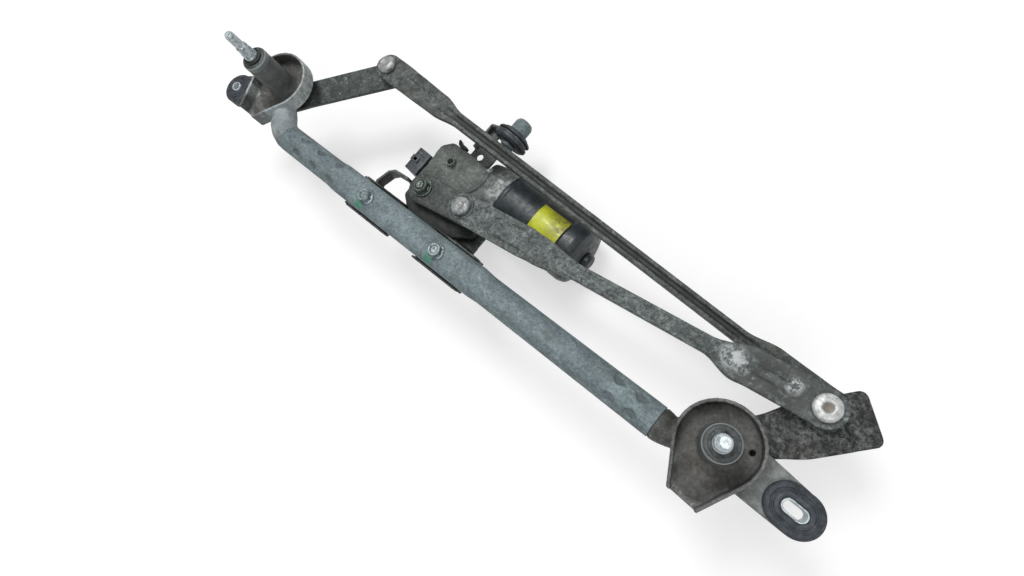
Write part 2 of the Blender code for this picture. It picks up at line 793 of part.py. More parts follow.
def cup_outline(inset, extra, hand):
    """The cup's plan: a circle drawn out to a blunt tip towards -Y, moved inwards by the inset."""
    corners = [
        Vector((hand * CUP_TIP_SHIFT - CUP_TIP_WIDTH / 2, -CUP_TIP_REACH)),
        Vector((hand * CUP_TIP_SHIFT + CUP_TIP_WIDTH / 2, -CUP_TIP_REACH)),
    ]
    tangents = []
    ends = []
    for corner, sign in zip(corners, (-1, 1)):
        heading = math.atan2(corner.y, corner.x)
        angle = heading + sign * math.acos(CUP_RADIUS / corner.length)
        outward = Vector((math.cos(angle), math.sin(angle)))
        touch = outward * CUP_RADIUS
        side = corner - touch
        tangents.append(math.degrees(angle))
        ends.append(outward * (CUP_RADIUS - inset) + side.normalized() * (side.length + extra))
    return arc((0, 0), CUP_RADIUS - inset, tangents[1], tangents[0] + 360, 20) + [tuple(end) for end in ends]


def barrel_profile():
    step = BARREL_TOP - BARREL_NECK_LENGTH
    return [
        (0, BARREL_TOP), (BARREL_NECK_RADIUS, BARREL_TOP), (BARREL_NECK_RADIUS, step), (BARREL_RADIUS, step),
        (BARREL_RADIUS + 0.0006, CUP_FLOOR_TOP + 0.006), (BARREL_FOOT_RADIUS, CUP_FLOOR_TOP - 0.001),
        (BARREL_FOOT_RADIUS + 0.002, ARM_TOP), (BARREL_FOOT_RADIUS - 0.001, BARREL_BOTTOM),
        (0, BARREL_BOTTOM)]


def make_housing(side, pivot, mount, stretch, neck, hand):
    """One cast housing: cup, barrel, mount arm, ribs, neck and the spigot in the tube."""
    name = side + "_pivot_housing"
    floor = CUP_FLOOR_TOP - CUP_FLOOR
    cup = plate(name, cup_outline(0, 0, hand), floor, CUP_RIM)
    body = settle(cup, "cast alloy", "assembly_frame", pivot)

    def tool(obj, at=pivot):
        return make_tool(obj, "assembly_frame", at)

    add(body, tool(swept(side + " neck", neck, BARREL_STEPS)))
    hollow = cup_outline(CUP_WALL, 0.008, hand)
    cut(body, tool(plate(side + " cup hollow", hollow, CUP_FLOOR_TOP, CUP_RIM + 0.005)))
    add(body, tool(turned(side + " barrel", barrel_profile(), BARREL_STEPS)))
    hole_radius = GROMMET_WAIST_RADIUS + GAP
    outline = belt((0, 0), ARM_ROOT_RADIUS, (mount[0] + stretch, mount[1]), hole_radius + ARM_RING_WALL)
    add(body, tool(plate(side + " mount arm", outline, ARM_TOP - ARM_THICKNESS, ARM_TOP)))
    for index, degrees in enumerate((100, 160, 320)):
        rib = block(side + f" rib {index}", (0, -RIB_THICKNESS / 2, ARM_TOP - ARM_THICKNESS - 0.001),
                    (CUP_RADIUS - CUP_WALL, RIB_THICKNESS / 2, floor + 0.001))
        rib.data.transform(Matrix.Rotation(math.radians(degrees), 4, "Z"))
        add(body, tool(rib))
    bore = BUSH_RADIUS + GAP
    cut(body, tool(rod(side + " bore", bore, BARREL_BOTTOM - 0.01, BARREL_TOP + 0.01, BARREL_STEPS)))
    walls = [(hole_radius, -0.04), (hole_radius, 0.0)]
    hole = stack(side + " grommet hole", walls, None, ROUND_STEPS, stretch)
    hole_at = Vector(pivot) + Vector((mount[0], mount[1], ARM_TOP - ARM_THICKNESS / 2 + 0.02))
    cut(body, tool(hole, hole_at))
    drain_at = Vector(pivot) + polar(DRAIN_REACH, DRAIN_ANGLE)
    cut(body, tool(rod(side + " drain", DRAIN_RADIUS, floor - 0.01, CUP_FLOOR_TOP + 0.003), drain_at))


def spigot_points(end, way):
    """The neck's last points: its shoulder at the tube's end, then the spigot inside the tube."""
    inner = TUBE_RADIUS - TUBE_WALL - GAP
    shoulder = end - way * GAP
    return [
        (on_tube(shoulder - way * 0.003), TUBE_RADIUS - 0.0002),
        (on_tube(shoulder), TUBE_RADIUS - 0.0002),
        (on_tube(shoulder + way * 0.00001), inner),
        (on_tube(end + way * (SPIGOT_LENGTH - 0.002)), inner),
        (on_tube(end + way * SPIGOT_LENGTH), inner - 0.0015),
    ]


def relative(points, pivot):
    return [(Vector(point) - Vector(pivot), radius) for point, radius in points]


def make_housings():
    end_left = -PIVOT_SPAN + TUBE_END_LEFT
    left_neck = [
        (LEFT_PIVOT + Vector((0.0060, -0.0090, -0.0120)), 0.0065),
        (LEFT_PIVOT + Vector((0.0165, -0.0165, -0.0090)), 0.0090),
        (LEFT_PIVOT + Vector((0.0244, -0.0225, -0.0050)), 0.0112),
        (LEFT_PIVOT + Vector((0.0325, -0.0288, -0.0020)), 0.0120),
        (LEFT_PIVOT + Vector((0.0410, -0.0325, -0.0005)), 0.0122),
    ]
    left_neck += spigot_points(end_left, 1)
    make_housing("left", LEFT_PIVOT, (MOUNT_LEFT_X, MOUNT_LEFT_Y), 0.0, relative(left_neck, LEFT_PIVOT), -1)
    end_right = -TUBE_END_RIGHT
    right_neck = [
        (Vector((-0.006, -0.009, -0.0120)), 0.0060),
        (Vector((-0.018, -0.0125, -0.0108)), 0.0072),
        (Vector((-0.0265, -0.0142, -0.0055)), 0.0100),
        (Vector((-0.0325, -0.0145, -0.0010)), 0.0118),
    ]
    right_neck += spigot_points(end_right, -1)
    make_housing("right", RIGHT_PIVOT, (MOUNT_RIGHT_X, MOUNT_RIGHT_Y), MOUNT_RIGHT_STRETCH, right_neck, 1)


def make_bush_and_seal(side, pivot):
    inner = SPINDLE_RADIUS + GAP
    top = BARREL_TOP - 0.0005
    bottom = BARREL_BOTTOM + 0.0005
    walls = [(BUSH_RADIUS, bottom), (BUSH_RADIUS, top)]
    bush = stack(side + "_bush", walls, [(inner, bottom), (inner, top)], BARREL_STEPS)
    settle(bush, "bronze", "assembly_frame", pivot)
    low = BARREL_TOP - SEAL_SKIRT
    shelf = BARREL_TOP + GAP
    peak = shelf + SEAL_HEIGHT
    skirt = BARREL_NECK_RADIUS + GAP
    profile = [
        (SPINDLE_RADIUS + 0.0035, peak), (BARREL_RADIUS - 0.0002, peak - 0.0016),
        (BARREL_RADIUS, peak - 0.0022), (BARREL_RADIUS, low), (skirt, low), (skirt, shelf), (inner, shelf),
        (inner, peak - 0.0008)]
    seal = turned(side + "_spindle_seal", profile, BARREL_STEPS, True)
    settle(seal, "black rubber", "assembly_frame", pivot)


def make_mount(side, pivot, mount, stretch):
    """The rubber grommet in the housing's arm and the metal sleeve that its screw clamps."""
    middle = ARM_TOP - ARM_THICKNESS / 2
    at = Vector(pivot) + Vector((mount[0], mount[1], middle))
    half_arm = ARM_THICKNESS / 2 + GAP
    reach = half_arm + GROMMET_FLANGE_HEIGHT
    flange = GROMMET_FLANGE_RADIUS
    layers = [
        (flange - 0.003, -reach), (flange, -reach + 0.002), (flange, -half_arm),
        (GROMMET_WAIST_RADIUS, -half_arm), (GROMMET_WAIST_RADIUS, half_arm), (flange, half_arm),
        (flange, reach - 0.0025), (flange - 0.003, reach)]
    bore_radius = SLEEVE_RADIUS + GAP
    bore = [(bore_radius, -reach), (bore_radius, reach)]
    grommet = stack(side + "_mount_grommet", layers, bore, ROUND_STEPS, stretch)
    settle(grommet, "black rubber", "assembly_frame", at)
    height = reach + SLEEVE_STAND
    inner = SLEEVE_RADIUS - SLEEVE_WALL
    sleeve = stack(side + "_mount_sleeve", [(SLEEVE_RADIUS, -height), (SLEEVE_RADIUS, height)],
                   [(inner, -height), (inner, height)], SMALL_STEPS, stretch)
    settle(sleeve, "bright zinc", "assembly_frame", at)


def make_spindle(side, pivot, carrier):
    """The spindle with its thread, knurled cone, ring groove and riveted foot, and the pieces on it."""
    thread_foot = SPINDLE_TIP - SPINDLE_THREAD_LENGTH
    groove_bottom = BARREL_TOP + GAP + SEAL_HEIGHT + GAP
    groove_top = groove_bottom + RING_HEIGHT + 2 * GAP
    groove = SPINDLE_RADIUS - RING_GROOVE_DEPTH
    head = LEVER_TOP - LEVER_THICKNESS - GAP
    profile = [
        (0, SPINDLE_TIP), (SPINDLE_THREAD_RADIUS - 0.0006, SPINDLE_TIP),
        (SPINDLE_THREAD_RADIUS, SPINDLE_TIP - 0.0008),
        (SPINDLE_THREAD_RADIUS, thread_foot), (SPINDLE_CONE_TOP_RADIUS, thread_foot - 0.0004),
        (SPINDLE_RADIUS, SPINDLE_CONE_BOTTOM), (SPINDLE_RADIUS, groove_top), (groove, groove_top),
        (groove, groove_bottom), (SPINDLE_RADIUS, groove_bottom), (SPINDLE_RADIUS, head),
        (RIVET_HEAD_RADIUS, head), (RIVET_HEAD_RADIUS - 0.001, head - RIVET_HEAD_HEIGHT),
        (0, head - RIVET_HEAD_HEIGHT)]
    settle(turned(side + "_spindle", profile), "bright zinc", carrier, pivot)
    washer = washer_profile(SPINDLE_RADIUS + GAP, THRUST_WASHER_RADIUS, LEVER_TOP + GAP,
                            LEVER_TOP + GAP + THRUST_WASHER_HEIGHT)
    settle(turned(side + "_thrust_washer", washer, SMALL_STEPS, True), "dark plastic", carrier, pivot)
    settle(retaining_ring(side, groove, groove_bottom), "dark steel", carrier, pivot)


def retaining_ring(side, groove, bottom):
    """An open ring in the spindle's groove, above the seal."""
    inner = groove + GAP
    outer = inner + RING_WALL
    outline = arc((0, 0), outer, 110, 430, 16) + arc((0, 0), inner, 430, 110, 16)
    return plate(side + "_retaining_ring", outline, bottom + GAP, bottom + GAP + RING_HEIGHT)


def ball_profile(centre_z, base_z, foot):
    """A ball stud from the top of its ball down to the foot profile."""
    start = math.asin(BALL_NECK_RADIUS / BALL_RADIUS)
    points = []
    for index in range(6):
        angle = math.pi / 2 - (math.pi - start) * index / 5
        points.append((BALL_RADIUS * math.cos(angle), centre_z + BALL_RADIUS * math.sin(angle)))
    points[0] = (0, centre_z + BALL_RADIUS)
    points[-1] = (BALL_NECK_RADIUS, centre_z - BALL_RADIUS * math.cos(start))
    points.append((BALL_NECK_RADIUS, base_z + STUD_FLANGE_HEIGHT))
    points.append((STUD_FLANGE_RADIUS, base_z + STUD_FLANGE_HEIGHT))
    points.append((STUD_FLANGE_RADIUS, base_z))
    return points + foot


def riveted_foot(base_z, sheet_bottom):
    head = sheet_bottom - GAP
    return [(BALL_NECK_RADIUS, base_z), (BALL_NECK_RADIUS, head), (STUD_HEAD_RADIUS, head),
            (STUD_HEAD_RADIUS - 0.0008, head - STUD_HEAD_HEIGHT), (0, head - STUD_HEAD_HEIGHT)]


def make_stud(name, carrier, at, rise, base_z, sheet_bottom=None, upside_down=False):
    """A ball stud; without a sheet to be riveted in, its foot ends flat."""
    foot = [(0, base_z)]
    if sheet_bottom is not None:
        foot = riveted_foot(base_z, sheet_bottom)
    profile = ball_profile(base_z - GAP + rise, base_z, foot)
    if upside_down:
        profile = [(radius, 2 * (base_z - GAP) - z) for radius, z in reversed(profile)]
    settle(turned(name, profile), "ball steel", carrier, at)


def socket_profile(centre_z, plate_low, plate_high, cap_radius):
    """A plastic ball socket snapped into the link: cap above the sheet, skirt and mouth below it."""
    peak = centre_z + SOCKET_CAP_HEIGHT + SOCKET_CROWN
    shoulder = peak - SOCKET_CROWN - 0.0008
    cavity = BALL_RADIUS + BALL_CLEARANCE
    mouth_z = -SOCKET_SKIRT_DEPTH
    mouth = math.sqrt(cavity ** 2 - mouth_z ** 2)
    skirt_bottom = centre_z - SOCKET_SKIRT_DEPTH
    skirt_radius = SOCKET_WAIST + SOCKET_LIP
    points = [
        (0, peak - SOCKET_DIMPLE_DEPTH), (SOCKET_DIMPLE_RADIUS, peak - SOCKET_DIMPLE_DEPTH),
        (SOCKET_DIMPLE_RADIUS + 0.0010, peak), (cap_radius * 0.9, shoulder + 0.0005),
        (cap_radius, shoulder - 0.0006),
        (cap_radius, plate_high + GAP), (SOCKET_WAIST, plate_high + GAP), (SOCKET_WAIST, plate_low - GAP),
        (skirt_radius, plate_low - GAP), (skirt_radius, skirt_bottom), (mouth, skirt_bottom)]
    start = math.asin(mouth_z / cavity)
    for index in range(1, 5):
        angle = start + (math.pi / 2 - start) * index / 4
        points.append((max(cavity * math.cos(angle), 0), centre_z + cavity * math.sin(angle)))
    points[-1] = (0, centre_z + cavity)
    return points


def make_socket(name, carrier, at, centre_z, cap_radius, upside_down=False):
    low = centre_z - LINK_SHEET / 2
    high = centre_z + LINK_SHEET / 2
    profile = socket_profile(centre_z, low, high, cap_radius)
    if upside_down:
        profile = [(radius, 2 * centre_z - z) for radius, z in reversed(profile)]
    settle(turned(name, profile), "white plastic", carrier, at)


def socket_hole(name, carrier, at, centre_z):
    radius = SOCKET_WAIST + GAP
    return make_tool(rod(name, radius, centre_z - 0.004, centre_z + 0.004), carrier, at)


def socket_collar(name, carrier, at, centre_z, cap_radius):
    """The raised ring that stiffens the sheet round a socket."""
    inner = max(cap_radius, SOCKET_WAIST + SOCKET_LIP) + GAP
    low = centre_z + LINK_SHEET / 2 - 0.0006
    high = centre_z + LINK_SHEET / 2 + COLLAR_HEIGHT
    profile = [(inner + 0.0008, high), (COLLAR_RADIUS - 0.0006, high), (COLLAR_RADIUS, low), (inner, low)]
    return make_tool(turned(name, profile, SMALL_STEPS, True), carrier, at)


def make_left_rocker():
    carrier = "left_rocker_axis"
    make_spindle("left", LEFT_PIVOT, carrier)
    heading = LONG_BALL_LEFT - LEFT_PIVOT
    half = LEVER_LEFT_HALF_WIDTH
    middle = [(0, LEVER_ROOT_RADIUS, 0, 0), (0.020, half, 0, 0),
              (0.060, half, 0, 0), (LEFT_LEVER_RADIUS, half, 0, 0)]
    lever = strip_with_round_ends("left_lever", LEFT_PIVOT, heading, LEFT_LEVER_RADIUS, LEVER_ROOT_RADIUS,
                                  half, middle, lambda s: LEVER_TOP, LEVER_THICKNESS)
    settle(lever, "dark steel", carrier)
    lever_hole(lever, "left spindle hole", carrier, LEFT_PIVOT, SPINDLE_RADIUS)
    lever_hole(lever, "left stud hole", carrier, LONG_BALL_LEFT, BALL_NECK_RADIUS)
    make_stud("left_ball_stud", carrier, LONG_BALL_LEFT, BALL_RISE, LEVER_TOP + GAP,
              LEVER_TOP - LEVER_THICKNESS)


def lever_hole(lever, name, carrier, at, radius):
    low = LEVER_LOW_BOTTOM - 0.01
    cut(lever, make_tool(rod(name, radius + GAP, low, LEVER_TOP + 0.01), carrier, at))


def right_lever_level(s):
    return LEVER_TOP - LEVER_STEP_DROP * ease((s - LEVER_STEP_START) / LEVER_STEP_RUN)


def make_right_rocker():
    carrier = "right_rocker_axis"
    make_spindle("right", RIGHT_PIVOT, carrier)
    heading = polar(1, LEVER_RIGHT_ANGLE)
    end_half = LEVER_RIGHT_END_HALF_WIDTH
    stations = [(s, half, 0, 0) for s, half in round_end(LEVER_ROOT_RADIUS)]
    stations += [
        (0.030, LEVER_ROOT_RADIUS, 0, 0), (0.058, end_half, 0, 0),
        (LEVER_STEP_START, end_half, 0, 0), (LEVER_STEP_START + LEVER_STEP_RUN, end_half, 0, 0),
        (LEVER_RIGHT_LENGTH - 0.004, end_half, 0, 0), (LEVER_RIGHT_LENGTH - 0.001, end_half - 0.0015, 0, 0),
        (LEVER_RIGHT_LENGTH, end_half - 0.004, 0, 0)]
    places = [station[0] for station in stations]
    places += spread(0.030, 0.058, 4)[1:-1]
    places += spread(LEVER_STEP_START, LEVER_STEP_START + LEVER_STEP_RUN, 4)[1:-1]
    lever = pressed_strip("right_lever", RIGHT_PIVOT, heading, stations, sorted(places), right_lever_level,
                          LEVER_THICKNESS)
    settle(lever, "dark steel", carrier)
    lever_hole(lever, "right spindle hole", carrier, RIGHT_PIVOT, SPINDLE_RADIUS)
    lever_hole(lever, "drive stud hole", carrier, DRIVE_BALL, BALL_NECK_RADIUS)
    make_stud("drive_ball_stud", carrier, DRIVE_BALL, BALL_RISE, LEVER_TOP + GAP,
              LEVER_TOP - LEVER_THICKNESS)


def make_drive_link():
    carrier = "drive_link_axis"
    length = (DRIVE_BALL - CRANK_BALL).length
    half = LINK_SHEET / 2

    def level(s):
        share = (s - LINK_PAD) / (length - 2 * LINK_PAD)
        return CRANK_BALL_Z + half + (ROCKER_BALL_Z - CRANK_BALL_Z) * max(0, min(1, share))

    waist = DRIVE_WAIST_HALF_WIDTH
    end = DRIVE_END_RADIUS
    middle = [
        (0, end, 0, 0), (LINK_PAD, end, 0, 0), (0.030, end, 0, 0), (0.042, end, 0, -0.0012),
        (0.068, end, 0, -0.0012), (0.082, end * 0.92, 0.0006, 0), (0.124, waist, DRIVE_FLANGE, -0.0008),
        (length - 0.085, waist, DRIVE_FLANGE, -0.0008), (length - 0.056, end, 0.0035, 0),
        (length - 0.046, end, 0.003, 0.0016), (length - 0.030, end, 0.002, 0.0016),
        (length - 0.018, end, 0.0010, 0), (length, end, 0, 0)]
    lean = ((0.070, 0), (0.100, -DRIVE_LEAN), (length - 0.085, -DRIVE_LEAN),
            (length - 0.066, -2 * DRIVE_LEAN), (length - 0.048, 0))
    link = strip_with_round_ends("drive_link_rod", CRANK_BALL, PARK_LINE, length, end, end, middle, level,
                                 LINK_SHEET, lean)
    settle(link, "dark steel", carrier)
    add(link, socket_collar("crank end collar", carrier, CRANK_BALL, CRANK_BALL_Z, SOCKET_CAP_RADIUS))
    cut(link, socket_hole("crank end hole", carrier, CRANK_BALL, CRANK_BALL_Z))
    cut(link, socket_hole("rocker end hole", carrier, DRIVE_BALL, ROCKER_BALL_Z))
    make_socket("drive_link_crank_socket", carrier, CRANK_BALL, CRANK_BALL_Z, SOCKET_CAP_RADIUS)
    make_socket("drive_link_rocker_socket", carrier, DRIVE_BALL, ROCKER_BALL_Z, SOCKET_CAP_RADIUS_DRIVE)
    make_stud("crank_ball_stud", carrier, CRANK_BALL, CRANK_BALL_RISE, CRANK_TOP + GAP)


def make_long_link():
    carrier = "long_link_axis"
    way = LONG_BALL_RIGHT - LONG_BALL_LEFT
    length = way.length
    half = LINK_SHEET / 2

    def level(s):
        share = (s - LINK_PAD) / (length - 2 * LINK_PAD)
        return ROCKER_BALL_Z + half + (UNDER_BALL_Z - ROCKER_BALL_Z) * max(0, min(1, share))

    waist = LONG_WAIST_HALF_WIDTH
    end = LONG_END_RADIUS
    middle = [
        (0, end, 0, 0), (0.020, end, 0, 0), (0.034, end * 0.96, 0.0010, 0.0010),
        (0.070, end * 0.88, 0.0020, 0.0010), (0.095, waist, LONG_FLANGE, LONG_GROOVE),
        (length - 0.088, waist * 0.9, LONG_FLANGE, LONG_GROOVE),
        (length - 0.060, end * 0.86, 0.0035, 0.0008), (length - 0.024, end * 0.9, 0.0010, 0),
        (length, end, 0, 0)]
    link = strip_with_round_ends("long_link_rod", LONG_BALL_LEFT, way, length, end, end, middle, level,
                                 LINK_SHEET)
    settle(link, "dark steel", carrier)
    cut(link, socket_hole("long left hole", carrier, LONG_BALL_LEFT, ROCKER_BALL_Z))
    cut(link, socket_hole("long right hole", carrier, LONG_BALL_RIGHT, UNDER_BALL_Z))
    make_socket("long_link_left_socket", carrier, LONG_BALL_LEFT, ROCKER_BALL_Z, SOCKET_CAP_RADIUS)
    make_socket("long_link_right_socket", carrier, LONG_BALL_RIGHT, UNDER_BALL_Z, SOCKET_CAP_RADIUS, True)
    make_stud("long_link_right_stud", carrier, LONG_BALL_RIGHT, BALL_RISE, LEVER_LOW_BOTTOM + GAP, None,
              True)


def make_crank():
    carrier = "crank_axis"
    bottom = CRANK_TOP - CRANK_THICKNESS
    outline = belt(CRANK_PIVOT, CRANK_HUB_RADIUS, CRANK_BALL, CRANK_END_RADIUS)
    hole = arc(CRANK_PIVOT, SHAFT_THREAD_RADIUS + GAP, 0, 345, 23)
    arm = settle(plate("crank_arm", outline, bottom, CRANK_TOP, (hole,)), "dark steel", carrier)
    head = [(0, bottom + 0.0005), (STUD_HEAD_RADIUS, bottom + 0.0005),
            (STUD_HEAD_RADIUS - 0.0008, bottom - 0.0010), (0, bottom - 0.0010)]
    add(arm, make_tool(turned("crank rivet head", head), carrier, CRANK_BALL))
    washer_low = CRANK_TOP + GAP
    nut_low = washer_low + CRANK_WASHER_HEIGHT + GAP
    nut_high = nut_low + CRANK_NUT_HEIGHT
    washer = washer_profile(SHAFT_THREAD_RADIUS + GAP, CRANK_WASHER_RADIUS, washer_low,
                            washer_low + CRANK_WASHER_HEIGHT)
    settle(turned("crank_washer", washer, SMALL_STEPS, True), "dark steel", carrier, CRANK_PIVOT)
    flats = CRANK_NUT_HALF_FLATS
    layers = [(flats + 0.0012, nut_low), (flats + 0.0012, nut_low + 0.0008),
              (flats, nut_low + 0.0012, "hexagon"), (flats, nut_high - 0.0006, "hexagon"),
              (flats - 0.0008, nut_high)]
    thread = SHAFT_THREAD_RADIUS + GAP
    nut = stack("crank_nut", layers, [(thread, nut_low), (thread, nut_high)])
    settle(nut, "dark steel", carrier, CRANK_PIVOT)
    tip = nut_high + SHAFT_THREAD_PAST_NUT
    low = DECK_TOP - SHAFT_DEPTH
    shaft = [(0, tip), (SHAFT_THREAD_RADIUS - 0.0006, tip), (SHAFT_THREAD_RADIUS, tip - 0.0006),
             (SHAFT_THREAD_RADIUS, bottom - GAP), (SHAFT_RADIUS, bottom - GAP), (SHAFT_RADIUS, low),
             (0, low)]
    settle(turned("motor_output_shaft", shaft), "bright zinc", carrier, CRANK_PIVOT)


def neck_rings():
    """The bell of the gear housing, from the deck to the motor can, along X."""
    rings = []
    stop = CAN_START - GAP
    for share, radius, square in ((0, 0.72, 0.6), (0.30, 0.80, 0.5), (0.62, 0.97, 0.25), (0.86, 1.0, 0.0),
                                  (0.861, 1.04, 0.0), (1.0, 1.04, 0.0)):
        power = 2 / (2 + 3 * square)
        x = stop - NECK_LENGTH * (1 - share)
        points = []
        for index in range(ROUND_STEPS):
            angle = 2 * math.pi * (index + 0.5) / ROUND_STEPS
            y = math.copysign(abs(math.cos(angle)) ** power, math.cos(angle))
            z = math.copysign(abs(math.sin(angle)) ** power, math.sin(angle))
            reach = CAN_RADIUS * radius
            points.append((x, MOTOR_AXIS_Y + y * reach, MOTOR_AXIS_Z + z * reach))
        rings.append(points)
    return rings


def along_x(obj):
    """Turn a piece that was made about Z so that its top points to +X."""
    obj.rotation_euler = (0, math.pi / 2, 0)
    return obj


def make_gear_housing():
    frame = "assembly_frame"
    low = DECK_TOP - DECK_THICKNESS
    deck = rounded(all_from_shaft(DECK_CORNERS), DECK_CORNER)
    body = settle(plate("gear_housing", deck, low, DECK_TOP), "cast alloy", frame)
    rim = CASE_RADIUS + CASE_RIM
    case_top = PLATE_BOTTOM - GAP
    case = [(0, DECK_TOP - 0.002), (CASE_NECK_RADIUS, DECK_TOP - 0.002), (CASE_NECK_RADIUS, case_top),
            (CASE_RADIUS - 0.002, case_top), (CASE_RADIUS, case_top - 0.002),
            (CASE_RADIUS, CASE_BOTTOM + 0.003), (rim, CASE_BOTTOM + 0.003), (rim, CASE_BOTTOM),
            (0, CASE_BOTTOM)]
    add(body, make_tool(turned("worm wheel case", case, ROUND_STEPS), frame, CRANK_PIVOT))
    tunnel = rod("worm tunnel", TUNNEL_RADIUS, TUNNEL_END - SHAFT_X, CAN_START - SHAFT_X - 0.01)
    add(body, make_tool(along_x(tunnel), frame, (SHAFT_X, MOTOR_AXIS_Y, MOTOR_AXIS_Z)))
    web = block("tunnel web", (TUNNEL_END + 0.01, SHAFT_Y, MOTOR_AXIS_Z - TUNNEL_RADIUS * 0.8),
                (CAN_START - NECK_LENGTH + 0.005, MOTOR_AXIS_Y, MOTOR_AXIS_Z + TUNNEL_RADIUS * 0.8))
    add(body, make_tool(web, frame))
    add(body, make_tool(skin("motor neck", neck_rings()), frame))
    riser_low = (*from_shaft(RISER_LOW), MOTOR_AXIS_Z)
    riser = block("neck riser", riser_low, (*from_shaft(RISER_HIGH), DECK_TOP - 0.004))
    add(body, make_tool(riser, frame))
    boss = [(0, SHAFT_BOSS_TOP), (SHAFT_BOSS_RADIUS - 0.002, SHAFT_BOSS_TOP),
            (SHAFT_BOSS_RADIUS, DECK_TOP - 0.001), (0, DECK_TOP - 0.001)]
    add(body, make_tool(turned("shaft boss", boss), frame, CRANK_PIVOT))
    breather = [(0, BREATHER_TOP), (BREATHER_RADIUS - 0.0006, BREATHER_TOP),
                (BREATHER_RADIUS, DECK_TOP - 0.001), (0, DECK_TOP - 0.001)]
    add(body, make_tool(turned("breather", breather), frame, (*MOTOR_SCREWS[0], 0)))
    for index, (x, y) in enumerate(MOTOR_SCREWS):
        foot = rod(f"screw boss {index}", SCREW_BOSS_RADIUS, PLATE_TOP + GAP, DECK_TOP - 0.003)
        add(body, make_tool(foot, frame, (x, y, 0)))
        hole = rod(f"screw thread {index}", MOTOR_SCREW_RADIUS + GAP, PLATE_TOP - 0.004,
                   PLATE_BOTTOM - GAP + MOTOR_SCREW_BITE + 2 * GAP, 16)
        cut(body, make_tool(hole, frame, (x, y, 0)))
    vent = rod("breather hole", BREATHER_RADIUS * 0.6, DECK_TOP - 0.001, BREATHER_TOP + 0.004, 16)
    cut(body, make_tool(vent, frame, (*MOTOR_SCREWS[0], 0)))
    shaft_low = DECK_TOP - SHAFT_DEPTH - GAP
    bore = rod("shaft bore", SHAFT_RADIUS + GAP, shaft_low, DECK_TOP + 0.02)
    cut(body, make_tool(bore, frame, CRANK_PIVOT))
    for index, (x, y) in enumerate(cover_screws()):
        ear = rod(f"cover ear {index}", COVER_EAR_RADIUS, CASE_BOTTOM + 0.0004, CASE_BOTTOM + 0.006)
        add(body, make_tool(ear, frame, (x, y, 0)))
        hole = rod(f"cover thread {index}", 0.0015 + GAP, CASE_BOTTOM - 0.002, CASE_BOTTOM + 0.0045, 12)
        cut(body, make_tool(hole, frame, (x, y, 0)))


def cover_screws():
    reach = CASE_RADIUS + CASE_RIM + 0.001
    return [tuple(CRANK_PIVOT + polar(reach, degrees))[:2] for degrees in (-100, -20, 205)]


def make_gear_cover():
    frame = "assembly_frame"
    top = CASE_BOTTOM - GAP
    low = top - COVER_HEIGHT
    outline = belt(CRANK_PIVOT, COVER_RADIUS, (SHAFT_X - 0.007, MOTOR_AXIS_Y - 0.009), 0.020)
    cover = settle(plate("gear_cover", outline, low, top), "dark plastic", frame)
    bevel = cover.modifiers.new("soft edge", "BEVEL")
    bevel.width = 0.0015
    bevel.segments = 1
    bevel.limit_method = "ANGLE"
    bevel.angle_limit = math.radians(60)
    half_width = CONNECTOR_WIDTH / 2
    foot_low = (CONNECTOR_X - CONNECTOR_LENGTH / 2, CONNECTOR_Y - half_width, low + 0.003)
    foot = block("connector foot", foot_low, (SHAFT_X - 0.02, CONNECTOR_Y + half_width, top))
    add(cover, make_tool(foot, frame))
    for index, (x, y) in enumerate(cover_screws()):
        hole = rod(f"cover hole {index}", 0.0015 + GAP, low - 0.002, top + 0.002, 12)
        cut(cover, make_tool(hole, frame, (x, y, 0)))
        head = low - GAP
        layers = [(COVER_SCREW_RADIUS - 0.0005, head - 0.002), (COVER_SCREW_RADIUS, head - 0.0015),
                  (COVER_SCREW_RADIUS, head), (0.0015, head), (0.0015, CASE_BOTTOM + 0.004)]
        settle(stack(f"cover_screw_{index + 1}", layers, None, 12), "bright zinc", frame, (x, y, 0))


def make_motor():
    frame = "assembly_frame"
    at = (CAN_START, MOTOR_AXIS_Y, MOTOR_AXIS_Z)
    end = CAN_LENGTH
    r = CAN_RADIUS
    profile = [
        (0, end), (r * 0.44, end), (r * 0.80, end - 0.0028), (r * 0.94, end - CAN_EDGE),
        (r, end - 0.010), (r, end - 0.020), (r - CAN_BEAD, end - 0.0205), (r - CAN_BEAD, end - 0.0225),
        (r, end - 0.023), (r, 0.004), (r + 0.0010, 0.0038), (r + 0.0010, 0), (0, 0)]
    settle(along_x(turned("motor_can", profile, ROUND_STEPS)), "black steel", frame, at)
    cap_low = end + GAP
    radius = END_CAP_RADIUS
    cap = [(0, cap_low + END_CAP_LENGTH), (radius - 0.0020, cap_low + END_CAP_LENGTH),
           (radius - 0.0004, cap_low + END_CAP_LENGTH - 0.0014), (radius, cap_low), (0, cap_low)]
    settle(along_x(turned("motor_end_cap", cap)), "black steel", frame, at)
    settle(label_band(), "yellow film", frame)


def label_band():
    """The thin sticker wrapped over the top of the can."""
    inner = CAN_RADIUS + GAP
    outer = inner + LABEL_THICKNESS
    loops = []
    for x in (LABEL_START, LABEL_START + LABEL_LENGTH):
        outside = arc((MOTOR_AXIS_Y, MOTOR_AXIS_Z), outer, LABEL_FROM, LABEL_TO, 12)
        inside = arc((MOTOR_AXIS_Y, MOTOR_AXIS_Z), inner, LABEL_TO, LABEL_FROM, 12)
        loops.append([(x, y, z) for y, z in outside + inside])
    return skin("motor_label", loops)


